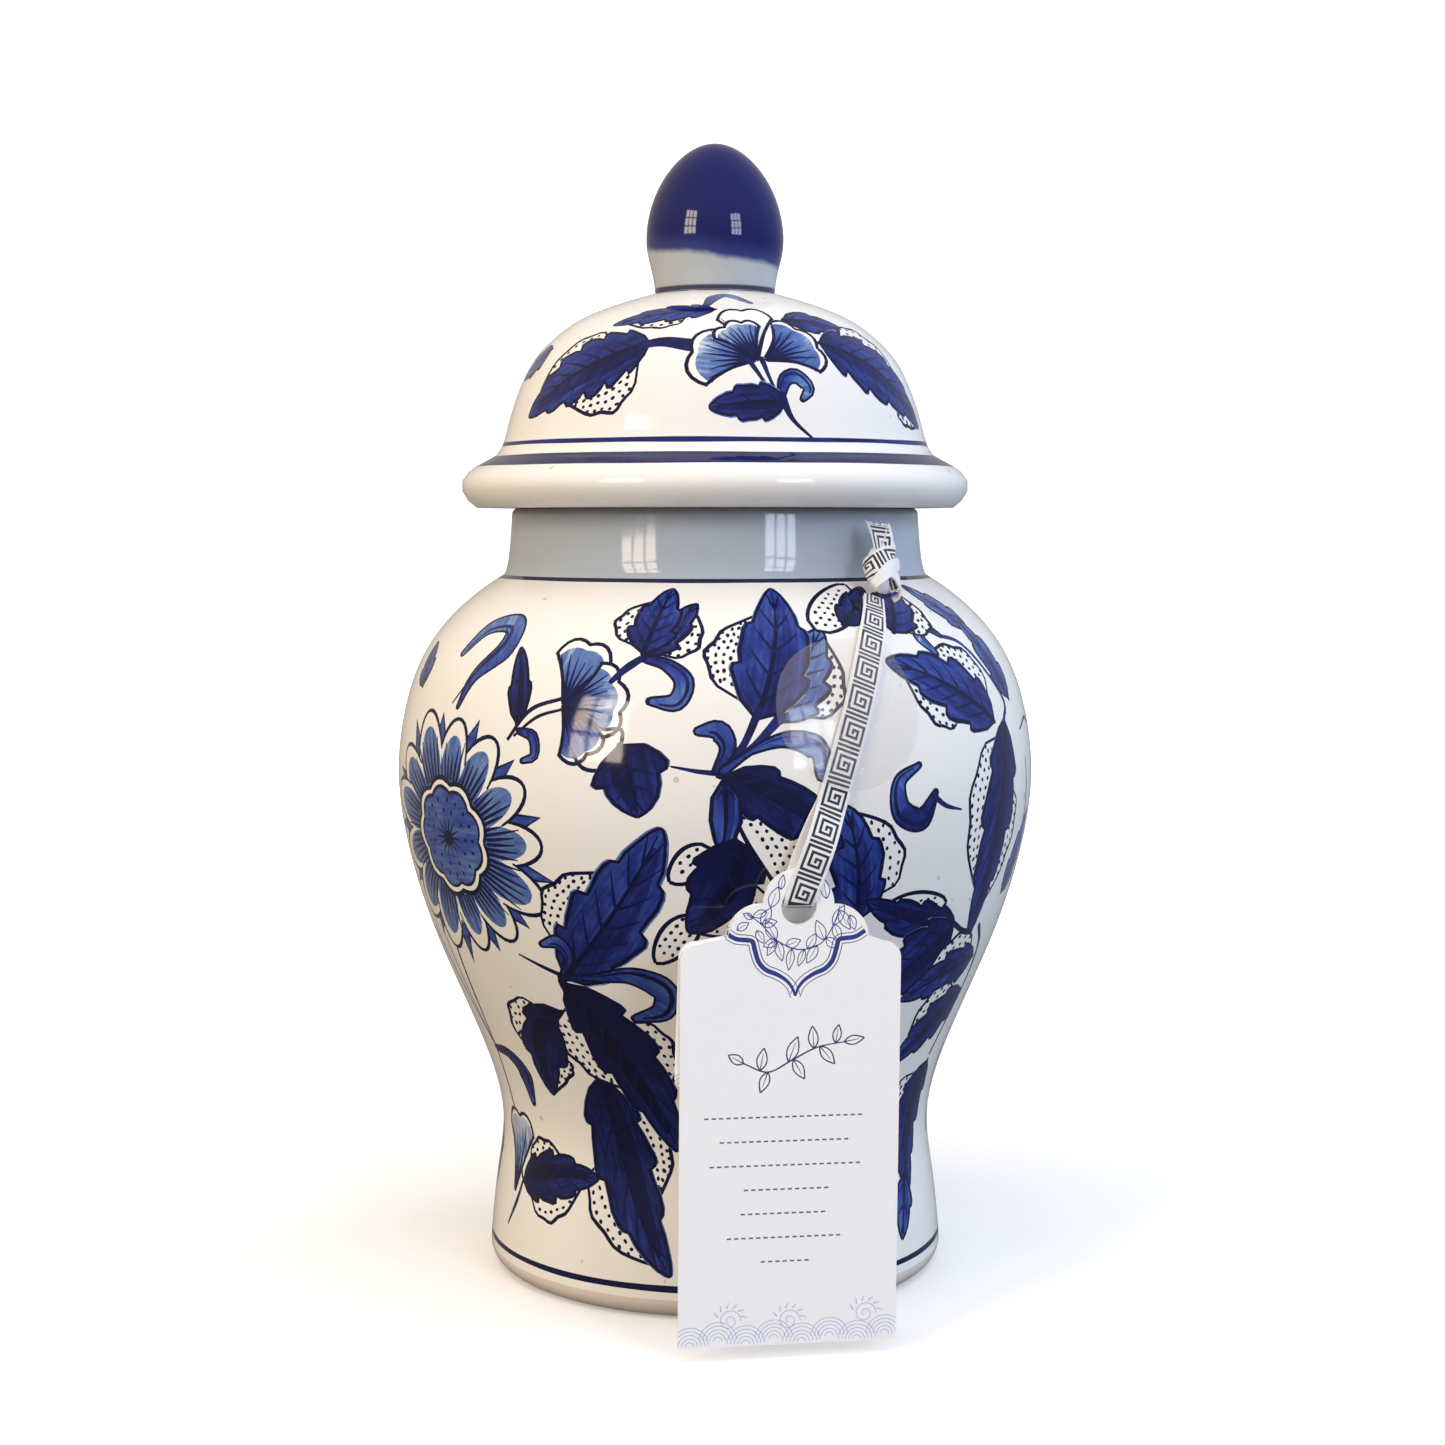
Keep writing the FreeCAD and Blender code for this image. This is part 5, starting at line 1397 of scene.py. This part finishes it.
def paint_card(p, drop, full):
    """Print of a card: a crest of leaves over a bracket-shaped band, and a border of waves."""
    middle = -0.6
    half = [(14.2, -5.0), (12.2, -6.2), (9.9, -6.5), (8.8, -6.8), (8.3, -8.6), (7.5, -11.0), (6.0, -12.6),
            (3.9, -13.5),
            (2.0, -14.7), (0.7, -16.2), (0.0, -18.0)]
    for side in (1, -1):
        path = through([(middle + side * x, z) for x, z in half], 0.5)
        normal = normals_2d(path) * side
        p.stroke(path, (0.9, 1.0, 0.95, 0.5), 1.0)
        for offset, line in ((1.0, 0.16), (-1.0, 0.16)):
            p.stroke(path + normal * offset, (line, line * 1.3, line), 1.0, cap=False)
    sprig(p, [(-10.5, -1.2), (-7.6, -3.4), (-4.6, -6.6), (0.0, -8.6), (4.6, -7.4), (7.2, -3.4),
              (8.4, 0.2)],
          [(-4.6, -6.6, 118, 4.6, 2.2), (-4.4, -6.8, 200, 3.0, 1.7), (-4.6, -6.6, 240, 3.6, 1.6),
           (-4.4, -6.8, 285, 4.2, 1.8),
           (-2.6, -7.8, 20, 3.2, 1.9), (-1.4, -8.4, 262, 4.4, 1.6), (1.2, -8.6, 250, 3.6, 1.4),
           (1.8, -8.4, 60, 3.4, 1.8),
           (3.8, -7.8, 240, 4.2, 1.9), (5.2, -6.8, 112, 4.4, 2.1), (5.6, -6.4, 320, 3.2, 1.9),
           (7.0, -3.8, 60, 4.6, 2.0),
           (7.2, -3.6, 290, 3.8, 1.8), (8.2, -0.8, 300, 4.6, 2.1), (10.4, -1.8, 290, 3.2, 1.7),
           (-7.6, -3.4, 60, 3.8, 2.0),
           (-7.6, -3.4, 10, 3.2, 1.8), (-9.4, -2.2, 150, 2.2, 1.2), (-12.6, -4.4, 30, 2.8, 1.6),
           (-8.6, -4.6, 300, 3.0, 1.6),
           (-5.8, 0.0, 70, 4.4, 2.2), (-6.6, -0.8, 200, 3.0, 1.6), (5.6, 1.6, 100, 4.2, 1.9),
           (-3.8, 3.6, 80, 3.0, 1.3)])
    if full:
        sprig(p, [(-11.0, -31.5), (-6.0, -33.4), (-1.0, -31.0), (4.0, -28.6), (9.6, -27.6)],
              [(-11.0, -31.5, 150, 3.6, 1.9), (-7.6, -33.0, 80, 4.6, 2.1), (-6.0, -33.4, 250, 4.4, 2.0),
               (-1.8, -31.4, 70, 5.4, 2.3),
               (-0.8, -31.0, 300, 4.6, 2.1), (3.4, -28.8, 95, 4.6, 2.0), (4.6, -28.4, 310, 4.8, 2.1),
               (7.8, -27.8, 80, 3.8, 1.7),
               (9.6, -27.6, 10, 4.2, 1.8)], 0.8, 0.3)
        for row, reach in enumerate((17.2, 14.0, 16.0, 9.0, 9.6, 12.4, 5.4)):
            height = -42.6 - 4.95 * row
            for n in range(int(reach * 2 / 1.5)):
                x = -1.7 - reach + 1.5 * n
                p.stroke([(x, height), (x + 0.9, height)], (0.34, 0.34), 0.6, cap=False)
    bottom = -drop + 0.35
    for n in range(8):
        cx, cz = CARD_LEFT + 2.4 + n * 5.75, bottom + (0.9 if n % 2 else 0.0)
        for ring in range(5):
            reach = 3.9 - ring * 0.75
            turns = np.radians(np.linspace(4, 176, 19))
            p.stroke(np.c_[cx + reach * np.cos(turns), cz + reach * np.sin(turns)], (0.16, 0.16), 0.3,
                     cap=False)
    for cx, cz in ((-13.4, bottom + 5.0), (-1.2, bottom + 4.6), (14.6, bottom + 5.4)):
        turns = np.linspace(0, 3.4 * math.pi, 34)
        reach = 2.4 * (1 - turns / (3.9 * math.pi))
        p.stroke(np.c_[cx + reach * np.cos(turns), cz + reach * np.sin(turns)], (0.18, 0.16), 0.3,
                 cap=False)
        for k in range(6):
            a = math.radians(20 + 28 * k)
            p.stroke([(cx + 2.6 * math.cos(a), cz + 2.6 * math.sin(a)),
                      (cx + 3.7 * math.cos(a - 0.2), cz + 3.7 * math.sin(a - 0.2))],
                     (0.3, 0.12), 0.3, cap=False)


def card_stock():
    """Uncoated card: a faint mottle and fibres, with line print in navy, grey and pale blue."""
    n = Nodes("tag_card_stock")
    place = n.place()
    mottle = n.noise(place, 520.0, 4.0, 0.65)
    fibres = n.noise(n.scaled(place, (1.0, 1.0, 3.4)), 1900.0, 3.0, 0.6)
    paper = n.mix(mottle, (0.89, 0.905, 0.94), (0.95, 0.955, 0.975))
    ink = n.ramp(n.attribute("pigment").outputs["Fac"], [
        (0.00, (0.5, 0.6, 0.86)), (0.45, (0.36, 0.45, 0.78)), (0.46, (0.11, 0.12, 0.16)),
        (0.70, (0.11, 0.12, 0.16)),
        (0.71, (0.04, 0.05, 0.12)), (0.90, (0.04, 0.05, 0.12)), (0.91, (0.030, 0.045, 0.24)),
        (1.00, (0.030, 0.045, 0.24))])
    cover = n.math("MULTIPLY", n.range(n.attribute("pigment").outputs["Fac"], 0.1, 0.25),
                   n.range(mottle, 0.1, 0.35, 0.8, 1.0))
    bumps = n.bump(fibres, 0.00003, 0.5, n.bump(mottle, 0.00004, 0.4))
    return n.finish(Base_Color=n.mix(cover, paper, ink), Roughness=0.62, Normal=bumps,
                    Specular_IOR_Level=0.3)


CARD = card_stock()


def card(name, drop, corner, layer, lean, body, node, full):
    painting = Painting()
    paint_card(painting, drop, full)
    extra = [(x, z) for x in np.arange(-22.5, 20.5, 3.0) for z in np.arange(-drop + 1.5, 6, 3.0)]
    flat, triangles, tones, _ = cut_up(painting, extra, card_outline(drop, corner),
                                       arc((0, 0), HOLE_RADIUS, 0, 350, 35))
    c, s = math.cos(math.radians(lean)), math.sin(math.radians(lean))
    x, z = flat[:, :1] * c + flat[:, 1:] * s, flat[:, 1:] * c - flat[:, :1] * s
    middle = HOLE - FORWARD * layer + x * ACROSS + z * UP
    piece = thick_sheet(name, flat, triangles, tones, middle + FORWARD * CARD_THICK / 2,
                        middle - FORWARD * CARD_THICK / 2, CARD)
    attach(piece, body)
    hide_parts(node)
    return piece


front_card = card("tag_front_card", FRONT_DROP, 0.5, 0.0, 0.5, "front_card", "tag_front", True)
back_card = card("tag_back_card", BACK_DROP, 3.5, 0.8, 2.0, "back_card", "tag_back", False)

for strand, line, pieces in ((front_strand, front_line, [knot, front_card]),
                             (back_strand, back_line, [back_card])):
    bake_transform(strand)

# ---------------------------------------------------------------- seal

SEAL_AZIMUTH, SEAL_HEIGHT, SEAL_RADIUS = 23.5, 131.0, 16.0
seal_rings, seal_spokes = 44, 132
seal_flat = [(0.0, 0.0)]
for ring_number in range(1, seal_rings + 1):
    reach = SEAL_RADIUS * ring_number / seal_rings
    for spoke in range(seal_spokes):
        a = 2 * math.pi * spoke / seal_spokes
        seal_flat.append((reach * math.cos(a), reach * math.sin(a)))
seal_flat = np.array(seal_flat)
seal_triangles = [(0, 1 + k, 1 + (k + 1) % seal_spokes) for k in range(seal_spokes)]
for ring_number in range(seal_rings - 1):
    first = 1 + ring_number * seal_spokes
    for k in range(seal_spokes):
        a, b = first + k, first + (k + 1) % seal_spokes
        seal_triangles += [(a, a + seal_spokes, b + seal_spokes), (a, b + seal_spokes, b)]
seal_triangles = np.array(seal_triangles)
shares, route_azimuths = np.array(STRAND_ROUTE)[::-1].T
seal_arc = jar_painting.along(SEAL_HEIGHT)
seal_places = []
for u, v in seal_flat:
    height = float(np.interp(seal_arc + v, jar_painting.arc, WALL[:, 1]))
    radius = float(np.interp(height, WALL[:, 1], WALL[:, 0]))
    azimuth = SEAL_AZIMUTH + math.degrees(u / radius)
    ribbon = float(np.interp((height - BEND_HEIGHT) / (STRAND_TOP - BEND_HEIGHT), shares, route_azimuths))
    beside = math.radians(azimuth - ribbon) * radius - 0.6
    slope = min(max((abs(beside) - 4.2) / 3.6, 0), 1)
    hump = 1.35 * (1 - slope * slope * (3 - 2 * slope))
    right = min(max((beside - 2.5) / 3, 0), 1) * (1 - min(max((beside - 13) / 4, 0), 1))
    crease = (math.sin(u * 1.9 + v * 1.1 + math.sin(v * 1.3) * 1.6)
              + math.sin(v * 2.3 - u * 1.4 + 2 * math.sin(u * 0.9))) * 0.11
    ripple = 0.05 * math.sin(u * 0.8 + v * 0.5) + crease * (0.12 + right)
    seal_places.append((azimuth, height, 0.42 + hump + ripple))
film_front = np.array([wall_point(a, h, lift + 0.12)[0] for a, h, lift in seal_places])
film_back = np.array([wall_point(a, h, lift)[0] for a, h, lift in seal_places])


def clear_film():
    n = Nodes("clear_seal_film")
    place = n.place()
    # painted reflection: the darker brown-grey in this mottle stands for a dim room mirrored in the film, mixed
    # with the film's own pale haze
    haze_and_painted_reflection = n.noise(place, 240.0, 4.0, 0.65)
    colour = n.mix(haze_and_painted_reflection, (0.50, 0.42, 0.36), (0.84, 0.80, 0.76))
    scuffs = n.bump(n.noise(place, 900.0, 2.0), 0.00004, 0.5)
    n.finish(Base_Color=colour, Roughness=0.06, Normal=scuffs, Alpha=0.07, IOR=1.45, Coat_Weight=0.4,
             Coat_Roughness=0.03)
    return n.material


seal = thick_sheet("clear_seal_disc", seal_flat, seal_triangles, np.zeros((len(seal_triangles), 3)),
                   film_front, film_back, clear_film())
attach(seal, "jar")
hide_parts("clear_seal")

# ---------------------------------------------------------------- floor

def stage_sheet(name, corners, material):
    """A plain sheet of the set, which the camera sees and the glaze doesn't mirror."""
    mesh = bpy.data.meshes.new(name)
    mesh.from_pydata(corners, [], [(0, 1, 2, 3)])
    mesh.materials.append(material)
    sheet = bpy.data.objects.new(name, mesh)
    sheet.visible_glossy = False
    sheet.visible_diffuse = False
    bpy.context.scene.collection.objects.link(sheet)
    return sheet


SET = 6.0
n = Nodes("floor")
reach = n.add("ShaderNodeVectorMath", {"Vector": n.place()}, operation="LENGTH").outputs["Value"]
# painted light: the floor glows, faintly near the jar's axis and fully white from about 0.46 m out, so its
# shading fades away from the jar
glow = n.range(reach, 0.17, 0.46)
stage_sheet("floor", [(-SET, -4, 0), (SET, -4, 0), (SET, SET, 0), (-SET, SET, 0)],
            n.finish(Base_Color=(0.95, 0.95, 0.95, 1), Roughness=0.6, Specular_IOR_Level=0.0,
                     Emission_Color=(1, 1, 1, 1), Emission_Strength=n.range(glow, 0, 1, 0.10, 1.0)))
n = Nodes("backdrop")
stage_sheet("backdrop", [(-SET, SET, 0), (SET, SET, 0), (SET, SET, SET), (-SET, SET, SET)],
            n.finish(Base_Color=(0.9, 0.9, 0.9, 1), Roughness=1.0, Emission_Color=(1, 1, 1, 1),
                     Emission_Strength=1.0))
